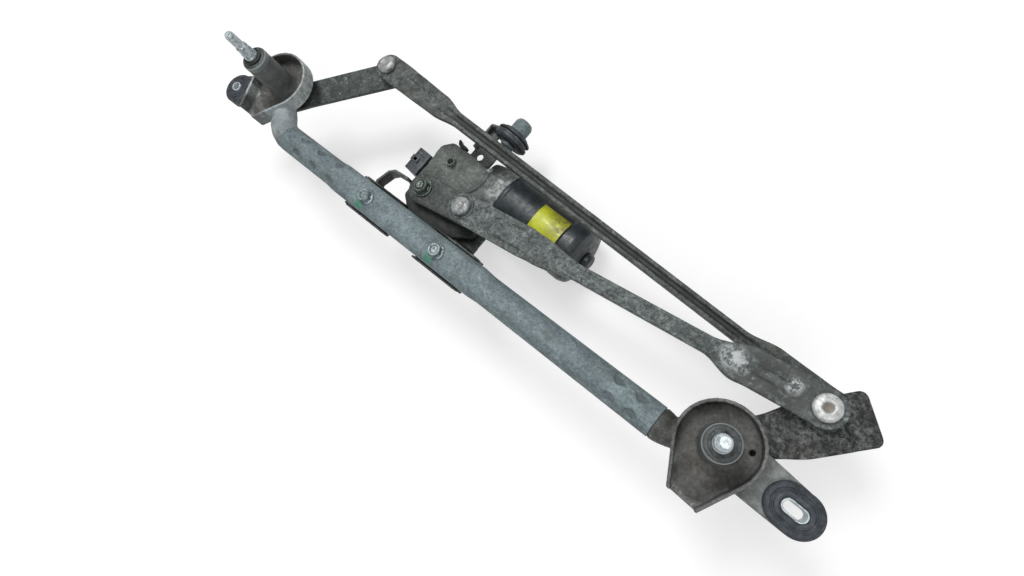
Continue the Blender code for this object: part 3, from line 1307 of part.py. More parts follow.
def make_motor_screws():
    for index, (x, y) in enumerate(MOTOR_SCREWS):
        head_top = PLATE_BOTTOM - GAP
        head_low = head_top - MOTOR_SCREW_HEAD_HEIGHT
        radius = MOTOR_SCREW_HEAD_RADIUS
        layers = [(radius - 0.0006, head_low), (radius - 0.0006, head_low + 0.0003, "hexagon"),
                  (radius - 0.0006, head_top - 0.001, "hexagon"), (radius + 0.0012, head_top - 0.0008),
                  (radius + 0.0012, head_top), (MOTOR_SCREW_RADIUS, head_top),
                  (MOTOR_SCREW_RADIUS, head_top + MOTOR_SCREW_BITE)]
        screw = stack(f"motor_screw_{index + 1}", layers, None, 12)
        settle(screw, "bright zinc", "assembly_frame", (x, y, 0))


def make_connector():
    """The plug socket on the gear cover: an open box with contact pins inside."""
    frame = "assembly_frame"
    low = CASE_BOTTOM
    half_length = CONNECTOR_LENGTH / 2
    half_width = CONNECTOR_WIDTH / 2
    left = CONNECTOR_X - half_length
    right = CONNECTOR_X + half_length - 0.001
    shell = settle(block("motor_connector", (left, CONNECTOR_Y - half_width, low),
                         (right, CONNECTOR_Y + half_width, CONNECTOR_TOP)), "slate plastic", frame)
    shoulder = block("connector shoulder", (right - 0.002, CONNECTOR_Y - half_width + SEAM, low + 0.0045),
                     (right + CONNECTOR_SHOULDER, CONNECTOR_Y + half_width - SEAM, CONNECTOR_TOP - SEAM))
    add(shell, make_tool(shoulder, frame))
    wall = CONNECTOR_WALL
    mouth_low = CONNECTOR_TOP - wall - CONNECTOR_MOUTH_HEIGHT
    mouth = block("connector mouth", (left - 0.005, CONNECTOR_Y - half_width + wall, mouth_low),
                  (CONNECTOR_X + half_length - 0.005, CONNECTOR_Y + half_width - wall, CONNECTOR_TOP - wall))
    cut(shell, make_tool(mouth, frame))
    pitch = (CONNECTOR_WIDTH - 4 * wall) / PIN_COUNT
    centre_z = mouth_low + CONNECTOR_MOUTH_HEIGHT / 2
    for index in range(PIN_COUNT):
        y = CONNECTOR_Y + (index - (PIN_COUNT - 1) / 2) * pitch
        pin = block(f"contact pin {index}", (left + 0.004, y - 0.0012, centre_z - 0.0004),
                    (CONNECTOR_X + half_length - 0.003, y + 0.0012, centre_z + 0.0004))
        add(shell, make_tool(pin, frame))
    key = block("connector key", (left, CONNECTOR_Y - 0.003, CONNECTOR_TOP - 0.0005),
                (left + 0.009, CONNECTOR_Y + 0.003, CONNECTOR_TOP + 0.0018))
    add(shell, make_tool(key, frame))
    clip = plate("loom_clip", all_from_shaft(CLIP_CORNERS), DECK_TOP - 0.005, DECK_TOP + 0.002)
    settle(clip, "dark plastic", frame)


def make_bracket():
    """The pressed bracket: saddles under the tube, legs, motor plate and the third mount's arm."""
    frame = "assembly_frame"
    left_end = -BOLT_LEFT - SADDLE_HALF_LENGTH - 0.008
    right_end = -BOLT_RIGHT + SADDLE_HALF_LENGTH + 0.004
    spine = tube_block("motor_bracket", (left_end, -SPINE_HALF_WIDTH, SPINE_BOTTOM),
                       (right_end, SPINE_HALF_WIDTH, SPINE_TOP))
    body = settle(spine, "zinc tube", frame)
    beside = SADDLE_HALF_LENGTH + 0.001
    notch_low = (-BOLT_LEFT + beside, -SPINE_HALF_WIDTH - 0.01, SPINE_BOTTOM - 0.01)
    notch_high = (-BOLT_RIGHT - beside, -SPINE_HALF_WIDTH + SPINE_NOTCH, SPINE_TOP + 0.01)
    cut(body, make_tool(tube_block("spine notch", notch_low, notch_high), frame))
    side = TUBE_FLAT_HALF_WIDTH + GAP
    for index, place in enumerate((BOLT_LEFT, BOLT_RIGHT)):
        for way in (-1, 1):
            low = min(way * side, way * (side + 0.0020))
            tab_low = (-place - SADDLE_HALF_LENGTH, low, SPINE_BOTTOM + SEAM)
            tab_high = (-place + SADDLE_HALF_LENGTH, low + 0.0020, SPINE_BOTTOM + SADDLE_TAB_HEIGHT)
            add(body, make_tool(tube_block(f"saddle tab {index} {way}", tab_low, tab_high), frame))
    wall_low = (left_end + SEAM, SPINE_HALF_WIDTH - PLATE_THICKNESS, PLATE_BOTTOM + 2 * SEAM)
    wall_high = (left_end + HANGER_WIDTH, SPINE_HALF_WIDTH - SEAM, SPINE_TOP - SEAM)
    add(body, make_tool(tube_block("left hanger", wall_low, wall_high), frame))
    strap = band(all_from_shaft(STRAP_LINE), STRAP_WIDTH)
    add(body, make_tool(plate("strap", strap, PLATE_BOTTOM + SEAM, PLATE_BOTTOM + BAND_HEIGHT), frame))
    add(body, make_tool(plate("motor plate", motor_plate_outline(), PLATE_BOTTOM, PLATE_TOP), frame))
    add(body, make_tool(right_leg(), frame))
    rim = band(all_from_shaft(ARM_RIM_LINE), ARM_RIM_WIDTH)
    add(body, make_tool(plate("arm rim", rim, PLATE_BOTTOM, PLATE_TOP + 0.007), frame))
    add(body, make_tool(third_tab(), frame))
    for name, place in (("spine hole left", BOLT_LEFT), ("spine hole right", BOLT_RIGHT)):
        hole = rod(name, BOLT_RADIUS + GAP, SPINE_BOTTOM - 0.005, SPINE_TOP + 0.005)
        cut(body, make_tool(hole, frame, on_tube(-place)))
    for index, (x, y) in enumerate(MOTOR_SCREWS):
        hole = rod(f"bracket screw hole {index}", MOTOR_SCREW_RADIUS + GAP, PLATE_BOTTOM - 0.005,
                   PLATE_TOP + 0.005, 16)
        cut(body, make_tool(hole, frame, (x, y, 0)))
    window = rod("arm hole", ARM_HOLE_RADIUS, PLATE_BOTTOM - 0.005, PLATE_TOP + 0.005)
    cut(body, make_tool(window, frame, (*from_shaft(ARM_HOLE_PLACE), 0)))


def motor_plate_outline():
    """The plate under the gear housing's deck, open towards the tube and round the gear case."""
    inner = CASE_NECK_RADIUS + 0.002
    return arc(CRANK_PIVOT, inner, 172, -50, 20) + all_from_shaft(PLATE_EDGE)


def right_leg():
    """The leg that comes down from the right saddle to the motor plate."""
    top = on_tube(-BOLT_RIGHT + 0.006, SPINE_HALF_WIDTH - 0.002)
    half = LEG_HALF_WIDTH
    sheet = PLATE_THICKNESS - 2 * SEAM
    rings = []
    for y, z, shift in ((0, SPINE_BOTTOM + sheet + SEAM, 0), (0.003, SPINE_BOTTOM, 0),
                        (0.0036, SPINE_BOTTOM - 0.006, -0.006), (0.0042, PLATE_TOP + 0.008, -0.021),
                        (0.0054, PLATE_TOP - SEAM, -0.0255), (0.0120, PLATE_TOP - SEAM, -0.0255)):
        x = top.x + shift
        near = top.y + y
        far = near - 0.0015
        upper = [(x - half, near, z), (x + half, near, z)]
        rings.append(upper + [(x + half, far, z - sheet), (x - half, far, z - sheet)])
    return skin("right leg", rings)


def third_tab():
    """The upright ear that holds the third rubber mount, in the plane across Y."""
    root = (SHAFT_X + THIRD_ROOT, PLATE_BOTTOM + THIRD_ROOT_RADIUS + SEAM)
    ear = belt((THIRD_X, THIRD_Z), THIRD_TAB_RADIUS, root, THIRD_ROOT_RADIUS)
    hole = arc((THIRD_X, THIRD_Z), THIRD_HOLE_RADIUS, 0, 345, 23)
    tab = plate("third mount ear", ear, 0, PLATE_THICKNESS, (hole,))
    turn = Matrix(((1, 0, 0, 0), (0, 0, 1, THIRD_Y - PLATE_THICKNESS / 2), (0, 1, 0, 0), (0, 0, 0, 1)))
    tab.data.transform(turn)
    tab.data.flip_normals()
    return tab


def along_y(obj):
    """Turn a piece that was made about Z so that its top points to +Y."""
    obj.rotation_euler = (-math.pi / 2, 0, 0)
    return obj


def make_third_mount():
    frame = "assembly_frame"
    at = (THIRD_X, THIRD_Y, THIRD_Z)
    half = PLATE_THICKNESS / 2 + GAP
    reach = half + THIRD_FLANGE_HEIGHT
    waist = THIRD_HOLE_RADIUS - GAP
    flange = THIRD_FLANGE_RADIUS
    bore = PEG_SHANK_RADIUS + GAP
    profile = [(bore, reach), (flange - 0.0060, reach), (flange - 0.0015, reach - 0.001),
               (flange, reach - 0.0025), (flange, half), (waist, half), (waist, -half), (flange, -half),
               (flange, -reach + 0.002), (flange - 0.0015, -reach), (bore, -reach)]
    settle(along_y(turned("third_mount_grommet", profile, ROUND_STEPS, True)), "black rubber", frame, at)
    shoulder = reach + GAP
    tip = shoulder + PEG_LENGTH
    low = -reach - GAP
    peg = [(0, tip), (PEG_RADIUS - 0.003, tip), (PEG_RADIUS - 0.0006, tip - 0.0026),
           (PEG_RADIUS, tip - 0.004),
           (PEG_RADIUS, shoulder), (PEG_SHANK_RADIUS, shoulder), (PEG_SHANK_RADIUS, low),
           (PEG_SHANK_RADIUS + 0.0025, low), (PEG_SHANK_RADIUS + 0.0015, low - PEG_HEAD_HEIGHT),
           (0, low - PEG_HEAD_HEIGHT)]
    settle(along_y(turned("third_mount_peg", peg, BARREL_STEPS)), "dark plastic", frame, at)


def make_bracket_bolts():
    for side, place in (("left", BOLT_LEFT), ("right", BOLT_RIGHT)):
        at = on_tube(-place)
        seat = TUBE_FLAT_HALF_HEIGHT + GAP
        hex_low = seat + BOLT_FLANGE_HEIGHT
        top = hex_low + BOLT_HEAD_HEIGHT
        nut_top = SPINE_BOTTOM - GAP
        nut_low = nut_top - NUT_HEIGHT
        tip = nut_low - BOLT_THREAD_PAST_NUT
        layers = [(BOLT_RADIUS - 0.0005, tip), (BOLT_RADIUS, tip + 0.0005), (BOLT_RADIUS, seat),
                  (BOLT_FLANGE_RADIUS, seat), (BOLT_FLANGE_RADIUS, seat + 0.0006),
                  (BOLT_HEAD_RADIUS + 0.0008, hex_low), (BOLT_HEAD_RADIUS, hex_low + 0.0003, "hexagon"),
                  (BOLT_HEAD_RADIUS, top - 0.0006, "hexagon"), (BOLT_HEAD_RADIUS - 0.0006, top)]
        settle(stack(f"bracket_bolt_{side}", layers), "bright zinc", "assembly_frame", at)
        thread = BOLT_RADIUS + GAP
        half = BOLT_RADIUS + NUT_WALL
        nut = stack(f"bracket_nut_{side}", [(half, nut_low, "hexagon"), (half, nut_top, "hexagon")],
                    [(thread, nut_low), (thread, nut_top)])
        settle(nut, "bright zinc", "assembly_frame", at)


def build():
    make_holders()
    make_tube()
    make_housings()
    for side, pivot in (("left", LEFT_PIVOT), ("right", RIGHT_PIVOT)):
        make_bush_and_seal(side, pivot)
    make_mount("left", LEFT_PIVOT, (MOUNT_LEFT_X, MOUNT_LEFT_Y), 0.0)
    make_mount("right", RIGHT_PIVOT, (MOUNT_RIGHT_X, MOUNT_RIGHT_Y), MOUNT_RIGHT_STRETCH)
    make_bracket()
    make_bracket_bolts()
    make_third_mount()
    make_gear_housing()
    make_gear_cover()
    make_motor()
    make_motor_screws()
    make_connector()
    make_left_rocker()
    make_right_rocker()
    make_drive_link()
    make_long_link()
    make_crank()
    bpy.context.view_layer.update()


build()
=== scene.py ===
"""The wiper linkage dressed for its portrait: fine metal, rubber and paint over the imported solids.

Lengths are in metres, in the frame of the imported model: +X from the left spindle to the right one,
+Y towards the links, +Z out along the spindles, with the origin on the right spindle's end.
"""

import json
import math

import bmesh
import bpy
from mathutils.bvhtree import BVHTree
from mathutils import Matrix, Vector


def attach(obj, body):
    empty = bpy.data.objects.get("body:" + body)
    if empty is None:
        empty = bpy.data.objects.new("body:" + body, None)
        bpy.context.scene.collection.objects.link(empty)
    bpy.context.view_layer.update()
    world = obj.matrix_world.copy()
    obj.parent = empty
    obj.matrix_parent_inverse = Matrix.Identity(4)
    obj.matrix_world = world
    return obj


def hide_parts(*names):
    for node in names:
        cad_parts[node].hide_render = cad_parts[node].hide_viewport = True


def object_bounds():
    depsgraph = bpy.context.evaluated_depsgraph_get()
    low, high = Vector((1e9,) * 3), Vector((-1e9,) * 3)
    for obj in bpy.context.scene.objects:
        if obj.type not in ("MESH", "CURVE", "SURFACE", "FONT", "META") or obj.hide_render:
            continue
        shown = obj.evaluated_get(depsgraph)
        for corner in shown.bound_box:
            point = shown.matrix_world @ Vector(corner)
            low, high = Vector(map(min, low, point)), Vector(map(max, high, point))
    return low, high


MM = 0.001

# The photograph's frame, and the camera fitted to it
PHOTO_WIDTH = 1024
FOCAL_PIXELS = 595
SENSOR_MM = 36
CAMERA_AT = Vector((-11.81, -19.11, 349.0)) * MM
CAMERA_RIGHT = Vector((0.71086, 0.64960, -0.26963))
CAMERA_UP = Vector((-0.59599, 0.75991, 0.25950))


def corners(box):
    return [list(corner) for corner in box]


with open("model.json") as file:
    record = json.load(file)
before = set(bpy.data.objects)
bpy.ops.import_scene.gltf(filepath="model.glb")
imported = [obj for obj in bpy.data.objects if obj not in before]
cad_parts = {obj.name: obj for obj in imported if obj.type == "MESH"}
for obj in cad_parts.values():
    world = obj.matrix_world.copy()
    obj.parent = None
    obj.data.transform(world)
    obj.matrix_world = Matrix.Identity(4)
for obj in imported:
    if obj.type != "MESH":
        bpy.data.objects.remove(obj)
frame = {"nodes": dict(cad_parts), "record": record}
CAD_BOX = corners(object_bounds())
NODES = frame["nodes"]


# Materials

class Finish:
    """A node material under construction: a Principled shader and short ways to feed it."""

    def __init__(self, name, roughness=0.5, metallic=0.0):
        self.material = bpy.data.materials.new(name)
        self.material.use_nodes = True
        self.tree = self.material.node_tree
        self.shader = self.tree.nodes["Principled BSDF"]
        self.shader.inputs["Roughness"].default_value = roughness
        self.shader.inputs["Metallic"].default_value = metallic
        self.place = self.tree.nodes.new("ShaderNodeTexCoord").outputs["Object"]

    def link(self, output, target):
        self.tree.links.new(output, target)

    def noise(self, size, detail=4.0, roughness=0.55, stretch=(1, 1, 1)):
        """Noise whose features are about the given size in metres."""
        mapping = self.tree.nodes.new("ShaderNodeMapping")
        mapping.inputs["Scale"].default_value = stretch
        self.link(self.place, mapping.inputs["Vector"])
        node = self.tree.nodes.new("ShaderNodeTexNoise")
        node.inputs["Scale"].default_value = 1 / size
        node.inputs["Detail"].default_value = detail
        node.inputs["Roughness"].default_value = roughness
        self.link(mapping.outputs["Vector"], node.inputs["Vector"])
        return node.outputs["Fac"]

    def ramp(self, value, *stops):
        """A colour ramp: each stop is a position and a colour or a grey value."""
        node = self.tree.nodes.new("ShaderNodeValToRGB")
        elements = node.color_ramp.elements
        while len(elements) < len(stops):
            elements.new(0.5)
        for element, (position, colour) in zip(elements, stops):
            element.position = position
            if isinstance(colour, (int, float)):
                colour = (colour, colour, colour)
            element.color = (*colour, 1)
        self.link(value, node.inputs["Fac"])
        return node.outputs["Color"]

    def mix(self, share, first, second, how="MIX"):
        node = self.tree.nodes.new("ShaderNodeMix")
        node.data_type = "RGBA"
        node.blend_type = how
        for socket, value in ((node.inputs[0], share), (node.inputs[6], first), (node.inputs[7], second)):
            if isinstance(value, (int, float)):
                socket.default_value = value
            elif isinstance(value, tuple):
                socket.default_value = (*value, 1)
            else:
                self.link(value, socket)
        return node.outputs[2]

    def colour(self, output):
        self.link(output, self.shader.inputs["Base Color"])

    def rough(self, output):
        self.link(output, self.shader.inputs["Roughness"])

    def bump(self, height, distance, strength=1.0):
        node = self.tree.nodes.new("ShaderNodeBump")
        node.inputs["Strength"].default_value = strength
        node.inputs["Distance"].default_value = distance
        self.link(height, node.inputs["Height"])
        if self.shader.inputs["Normal"].is_linked:
            self.link(self.shader.inputs["Normal"].links[0].from_socket, node.inputs["Normal"])
        self.link(node.outputs["Normal"], self.shader.inputs["Normal"])

    def offset(self, at):
        node = self.tree.nodes.new("ShaderNodeVectorMath")
        node.operation = "SUBTRACT"
        self.link(self.place, node.inputs[0])
        node.inputs[1].default_value = tuple(at)
        return node.outputs[0]

    def vector_math(self, operation, first, second=(0, 0, 0)):
        node = self.tree.nodes.new("ShaderNodeVectorMath")
        node.operation = operation
        self.link(first, node.inputs[0])
        node.inputs[1].default_value = second
        return node.outputs

    def fade(self, value, reach, blur):
        """One below a reach and zero above it, with a soft edge."""
        node = self.tree.nodes.new("ShaderNodeMapRange")
        for label, end in (("From Min", reach - blur), ("From Max", reach + blur), ("To Min", 1), ("To Max", 0)):
            node.inputs[label].default_value = end
        self.link(value, node.inputs["Value"])
        return node.outputs[0]

    def near(self, at, radius, blur, flat=(1, 1, 1)):
        """One close to a place in the frame and zero away from it, with a soft edge."""
        scaled = self.vector_math("MULTIPLY", self.offset(at), flat)[0]
        return self.fade(self.vector_math("LENGTH", scaled)["Value"], radius, blur)

    def beside(self, at, across, reach, blur):
        """One along an upright plane through a place, fading out to its two sides."""
        aside = self.vector_math("DOT_PRODUCT", self.offset(at), tuple(across))["Value"]
        size = self.tree.nodes.new("ShaderNodeMath")
        size.operation = "ABSOLUTE"
        self.link(aside, size.inputs[0])
        return self.fade(size.outputs[0], reach, blur)

    def both(self, first, second, operation="MULTIPLY"):
        node = self.tree.nodes.new("ShaderNodeMath")
        node.operation = operation
        node.use_clamp = True
        for socket, value in zip(node.inputs, (first, second)):
            if isinstance(value, (int, float)):
                socket.default_value = value
            else:
                self.link(value, socket)
        return node.outputs[0]

    def height(self, low, high):
        """Zero below one height and one above another."""
        split = self.tree.nodes.new("ShaderNodeSeparateXYZ")
        self.link(self.place, split.inputs[0])
        rise = self.tree.nodes.new("ShaderNodeMapRange")
        rise.inputs["From Min"].default_value = low
        rise.inputs["From Max"].default_value = high
        self.link(split.outputs["Z"], rise.inputs["Value"])
        return rise.outputs[0]

    def attribute(self, name):
        node = self.tree.nodes.new("ShaderNodeAttribute")
        node.attribute_name = name
        return node.outputs["Fac"]

    def patches(self, size, low, high, most=1.0, stretch=(1, 1, 1)):
        """Ragged islands: zero below the low level of a noise, and the most above the high one."""
        return self.ramp(self.noise(size, 7, 0.70, stretch), (low, 0.0), (high, most))

    def weather(self, light, dark, cloud=0.014, grain=0.0030, depth=0.50):
        """A clouded colour broken by two sizes of grain, with the skin roughened to match."""
        clouds = self.ramp(self.noise(cloud, 6, 0.62), (0.34, dark), (0.64, light))
        coarse = self.ramp(self.noise(grain, 5, 0.72), (0.40, 1 - depth), (0.60, 1.0))
        fine = self.ramp(self.noise(grain * 0.42, 3, 0.7), (0.36, 1 - depth * 0.7), (0.58, 1.0))
        self.bump(self.noise(grain, 5, 0.7), 0.00035, 0.8)
        return self.mix(1.0, self.mix(1.0, clouds, coarse, "MULTIPLY"), fine, "MULTIPLY")


def zinc_tube():
    """Dulled galvanised steel: blue-grey and cloudy, streaked with dirt, pale where the zinc has bloomed, with painted
    shade in its punch dents.
    """
    f = Finish("galvanised steel", 0.6, 0.12)
    base = f.weather((0.274, 0.346, 0.368), (0.176, 0.230, 0.250), 0.020, 0.0026, 0.40)
    base = f.mix(f.patches(0.012, 0.50, 0.66, 0.75, (0.5, 1.4, 1.0)), base, (0.105, 0.122, 0.120))
    base = f.mix(f.patches(0.0055, 0.60, 0.70, 0.55), base, (0.46, 0.51, 0.52))
    base = f.mix(f.patches(0.0026, 0.62, 0.70, 0.70), base, (0.070, 0.075, 0.070))
    # Painted shade: the punch dents are darkened by their depth, standing in for the shade inside them.
    base = f.mix(f.both(f.attribute("punched"), 0.55), base, (0.060, 0.070, 0.068))
    for at in ((-0.3365, -0.0375, -0.0665), (-0.2510, -0.0335, -0.0665)):
        mark = f.both(f.near(at, 0.0040, 0.0014), f.patches(0.0024, 0.36, 0.50))
        base = f.mix(mark, base, (0.050, 0.230, 0.150))
    f.colour(base)
    f.rough(f.ramp(f.noise(0.014, 5), (0.3, 0.54), (0.7, 0.74)))
    f.bump(f.noise(0.0026, 6, 0.7), 0.00018, 0.6)
    return f.material


def rough_casting(name, light, dark, cloud=0.016, depth=0.50):
    f = Finish(name, 0.66, 0.12)
    return f, f.weather(light, dark, cloud, 0.0030, depth)


def housing_alloy():
    """The pivot housings: brown dirt inside their cups, painted light on the left cup's outer wall, a grey arm, a dirty
    right neck.
    """
    f, base = rough_casting("weathered casting", (0.250, 0.262, 0.258), (0.120, 0.126, 0.122), 0.012, 0.46)
    base = f.mix(f.patches(0.0046, 0.56, 0.68, 0.75), base, (0.46, 0.48, 0.47))
    base = f.mix(f.patches(0.0090, 0.55, 0.68, 0.70), base, (0.072, 0.070, 0.062))
    arm = f.near((0.0460, 0.0, -0.085), 0.022, 0.010)
    arm_skin = f.ramp(f.noise(0.006, 5), (0.35, (0.150, 0.165, 0.162)), (0.65, (0.290, 0.310, 0.306)))
    base = f.mix(f.both(arm, 0.75), base, arm_skin)
    # Painted light: the left cup's outer wall faces away from the lamps, and is painted pale as though lit.
    wall = f.both(f.near((-0.503, 0.0, 0.0), 0.0345, 0.0010, (1, 1, 0)),
                  f.near((-0.503, 0.0, 0.0), 0.0286, 0.0004, (1, 1, 0)), "SUBTRACT")
    painted_light_wall = f.ramp(f.noise(0.0042, 7, 0.70), (0.38, (0.290, 0.325, 0.325)), (0.62, (0.660, 0.710, 0.710)))
    base = f.mix(f.both(wall, 0.85), base, painted_light_wall)
    below_rim = f.both(1.0, f.height(-0.0678, -0.0668), "SUBTRACT")
    mud = f.mix(1.0, f.ramp(f.noise(0.013, 6, 0.65), (0.36, (0.062, 0.059, 0.052)), (0.66, (0.150, 0.148, 0.140))),
                f.ramp(f.noise(0.0028, 5, 0.7), (0.40, 0.55), (0.60, 1.0)), "MULTIPLY")
    mud = f.mix(f.patches(0.0040, 0.62, 0.72, 0.60), mud, (0.34, 0.33, 0.30))
    for pivot, tip in (((0.0, 0.0, 0.0), (0.0025, -0.0232, 0.0)), ((-0.503, 0.0, 0.0), (-0.5055, -0.0232, 0.0))):
        for at, reach in ((pivot, 0.0277), (tip, 0.0166)):
            cup = f.both(f.near(at, reach, 0.0006, (1, 1, 0)), below_rim)
            base = f.mix(f.both(cup, 0.88), base, mud)
        barrel = f.both(f.near(pivot, 0.0155, 0.0008, (1, 1, 0)), f.height(-0.0785, -0.0765))
        barrel_skin = f.ramp(f.noise(0.008, 5), (0.35, (0.105, 0.112, 0.110)), (0.65, (0.185, 0.196, 0.194)))
        base = f.mix(f.both(barrel, 0.85), base, barrel_skin)
    neck = f.near((-0.034, -0.013, -0.076), 0.0135, 0.003)
    base = f.mix(f.both(neck, 0.85), base, f.mix(1.0, mud, (0.42, 0.43, 0.38), "MULTIPLY"))
    left_neck = f.near((-0.470, -0.030, -0.076), 0.020, 0.008)
    pale = f.ramp(f.noise(0.009, 5, 0.6), (0.35, (0.245, 0.285, 0.300)), (0.62, (0.430, 0.480, 0.505)))
    f.colour(f.mix(f.both(left_neck, 0.80), base, pale))
    f.rough(f.ramp(f.noise(0.006, 4), (0.3, 0.58), (0.7, 0.84)))
    f.bump(f.noise(0.0048, 5, 0.6), 0.00060, 0.7)
    return f.material


def near_black_by_crank(f, base):
    """Near-black ragged patches on whatever lies beside and under the crank, at every height."""
    for at, reach, flat in (((-0.282, -0.009, 0.0), 0.0245, (1, 1, 0)), ((-0.316, -0.006, 0.0), 0.0170, (0.45, 1, 0))):
        crank_dark_patch = f.both(f.near(at, reach, 0.0025, flat), f.patches(0.007, 0.22, 0.38))
        base = f.mix(f.both(crank_dark_patch, 0.90), base, (0.015, 0.018, 0.018))
    return base


def gear_alloy():
    """The gear housing: olive grey with dark pits, its bell paler and powdered white, and painted shade on the body
    below the deck.
    """
    f, base = rough_casting("olive grey casting", (0.222, 0.252, 0.235), (0.118, 0.136, 0.126), 0.016, 0.50)
    bell = f.near((-0.262, 0.057, -0.118), 0.0265, 0.0040)
    pale = f.ramp(f.noise(0.0040, 6, 0.7), (0.38, (0.120, 0.140, 0.140)), (0.62, (0.300, 0.325, 0.320)))
    base = f.mix(f.both(bell, 0.80), base, pale)
    powder = f.both(f.patches(0.0048, 0.46, 0.60, 0.85, (0.5, 1, 1)), bell)
    base = f.mix(powder, base, (0.52, 0.54, 0.53))
    base = f.mix(f.patches(0.011, 0.54, 0.66, 0.75), base, (0.058, 0.058, 0.048))
    base = f.mix(f.patches(0.0040, 0.62, 0.72, 0.50), base, (0.36, 0.37, 0.34))
    # Painted shade: the body below the deck, the bell apart, is darkened as the shade under the deck.
    shade_below_deck = f.both(f.both(1.0, f.height(-0.133, -0.130), "SUBTRACT"), f.both(1.0, bell, "SUBTRACT"))
    base = f.mix(f.both(shade_below_deck, 0.80), base, (0.030, 0.034, 0.033))
    base = near_black_by_crank(f, base)
    bare = f.near((-0.2945, 0.0635, -0.1215), 0.0038, 0.0012)
    f.colour(f.mix(f.both(bare, 0.8), base, (0.42, 0.46, 0.46)))
    f.rough(f.ramp(f.noise(0.006, 4), (0.3, 0.52), (0.7, 0.82)))
    return f.material


def bracket_paint():
    """The bracket: zinc dulled to a dark green grey, rusting in places, and near black in patches by the crank."""
    f = Finish("dulled bracket zinc", 0.58, 0.22)
    base = f.weather((0.200, 0.222, 0.214), (0.085, 0.098, 0.094), 0.012, 0.0030, 0.50)
    base = f.mix(f.patches(0.0050, 0.58, 0.70, 0.65), base, (0.38, 0.41, 0.41))
    base = f.mix(f.patches(0.0075, 0.59, 0.68, 0.60), base, (0.145, 0.085, 0.050))
    base = f.mix(f.patches(0.0100, 0.54, 0.66, 0.75), base, (0.045, 0.048, 0.044))
    f.colour(near_black_by_crank(f, base))
    f.rough(f.ramp(f.noise(0.006, 5), (0.3, 0.48), (0.7, 0.78)))
    return f.material


def weathered_steel(name, light, dark, rust=0.35, oxide=0.5, depth=0.60, groove=None, spots=()):
    """A dark pressing: grains of wear, white bloom and rust, a groove darkened to near black, and chips worn through to
    white.
    """
    f = Finish(name, 0.62, 0.15)
    base = f.weather(light, dark, 0.013, 0.0030, depth)
    base = f.mix(f.patches(0.0062, 0.58, 0.70, oxide), base, (0.40, 0.43, 0.43))
    base = f.mix(f.patches(0.018, 0.58, 0.68, rust), base, (0.105, 0.066, 0.042))
    base = f.mix(f.patches(0.011, 0.54, 0.66, 0.75), base, tuple(0.6 * part for part in dark))
    if groove:
        middle, across, reach, length = groove
        groove_darkening = f.both(f.beside(middle, across, reach, 0.0006), f.near(middle, length, 0.020))
        base = f.mix(f.both(groove_darkening, 0.85), base, (0.022, 0.026, 0.025))
    for at, reach, low, tone in spots:
        worn = f.both(f.near(at, reach, reach * 0.5), f.patches(0.0050, low, low + 0.09))
        base = f.mix(worn, base, tone)
    f.colour(base)
    f.rough(f.ramp(f.noise(0.006, 5), (0.3, 0.50), (0.7, 0.82)))
    return f.material


def blackened_lever():
    """The right lever: near black, its coarse grain showing pale bloom between the pits."""
    f = Finish("blackened lever", 0.62, 0.15)
    pits = f.ramp(f.noise(0.0032, 6, 0.78), (0.44, (0.016, 0.017, 0.017)), (0.60, (0.175, 0.186, 0.186)))
    clouds = f.ramp(f.noise(0.012, 5, 0.65), (0.38, 0.30), (0.62, 1.0))
    base = f.mix(1.0, pits, clouds, "MULTIPLY")
    base = f.mix(f.patches(0.0045, 0.62, 0.72, 0.7), base, (0.30, 0.32, 0.32))
    f.colour(f.mix(f.patches(0.015, 0.56, 0.66, 0.6), base, (0.070, 0.064, 0.050)))
    f.rough(f.ramp(f.noise(0.004, 5), (0.3, 0.45), (0.7, 0.80)))
    f.bump(f.noise(0.0032, 6, 0.78), 0.00055, 0.9)
    return f.material


def bright_steel(name, light=(0.62, 0.66, 0.68), dark=(0.26, 0.28, 0.28), roughness=0.34, dirt=0.6, metal=0.80):
    f = Finish(name, roughness, metal)
    clouds = f.ramp(f.noise(0.0032, 5, 0.65), (0.36, dark), (0.58, light))
    f.colour(f.mix(f.patches(0.0030, 0.56, 0.68, dirt), clouds, (0.085, 0.090, 0.085)))
    f.rough(f.ramp(f.noise(0.0022, 4), (0.3, roughness - 0.08), (0.7, roughness + 0.20)))
    f.bump(f.noise(0.0012, 4), 0.00010, 0.6)
    return f.material


def moulded(name, light, dark, roughness=0.5, dust_share=0.35, dust=(0.22, 0.24, 0.25)):
    """Rubber and plastic: dark, scuffed, and dusty in patches."""
    f = Finish(name, roughness)
    clouds = f.ramp(f.noise(0.008, 5), (0.35, dark), (0.65, light))
    grains = f.ramp(f.noise(0.0026, 4, 0.7), (0.38, 0.62), (0.60, 1.0))
    base = f.mix(1.0, clouds, grains, "MULTIPLY")
    f.colour(f.mix(f.patches(0.0042, 0.56, 0.72, dust_share), base, dust))
    f.rough(f.ramp(f.noise(0.005, 4), (0.3, roughness - 0.08), (0.7, roughness + 0.2)))
    f.bump(f.noise(0.0016, 4), 0.00010, 0.5)
    return f.material


def cap_finish(name, light, dark, centre, middle, edge=0.0052):
    """A ball socket's cap: worn bright or chalky, with another tone round its centre."""
    def finish(at):
        f = Finish(name, 0.45, 0.40)
        clouds = f.ramp(f.noise(0.0048, 6, 0.68), (0.36, dark), (0.60, light))
        heart = f.near((at.x, at.y, 0), edge, 0.0007, (1, 1, 0))
        base = f.mix(f.both(heart, middle), clouds, centre)
        f.colour(f.mix(f.patches(0.0026, 0.58, 0.68, 0.75), base, (0.10, 0.10, 0.09)))
        f.rough(f.ramp(f.noise(0.0022, 4), (0.3, 0.34), (0.7, 0.66)))
        f.bump(f.noise(0.0016, 4), 0.00012, 0.6)
        return f.material
    return finish


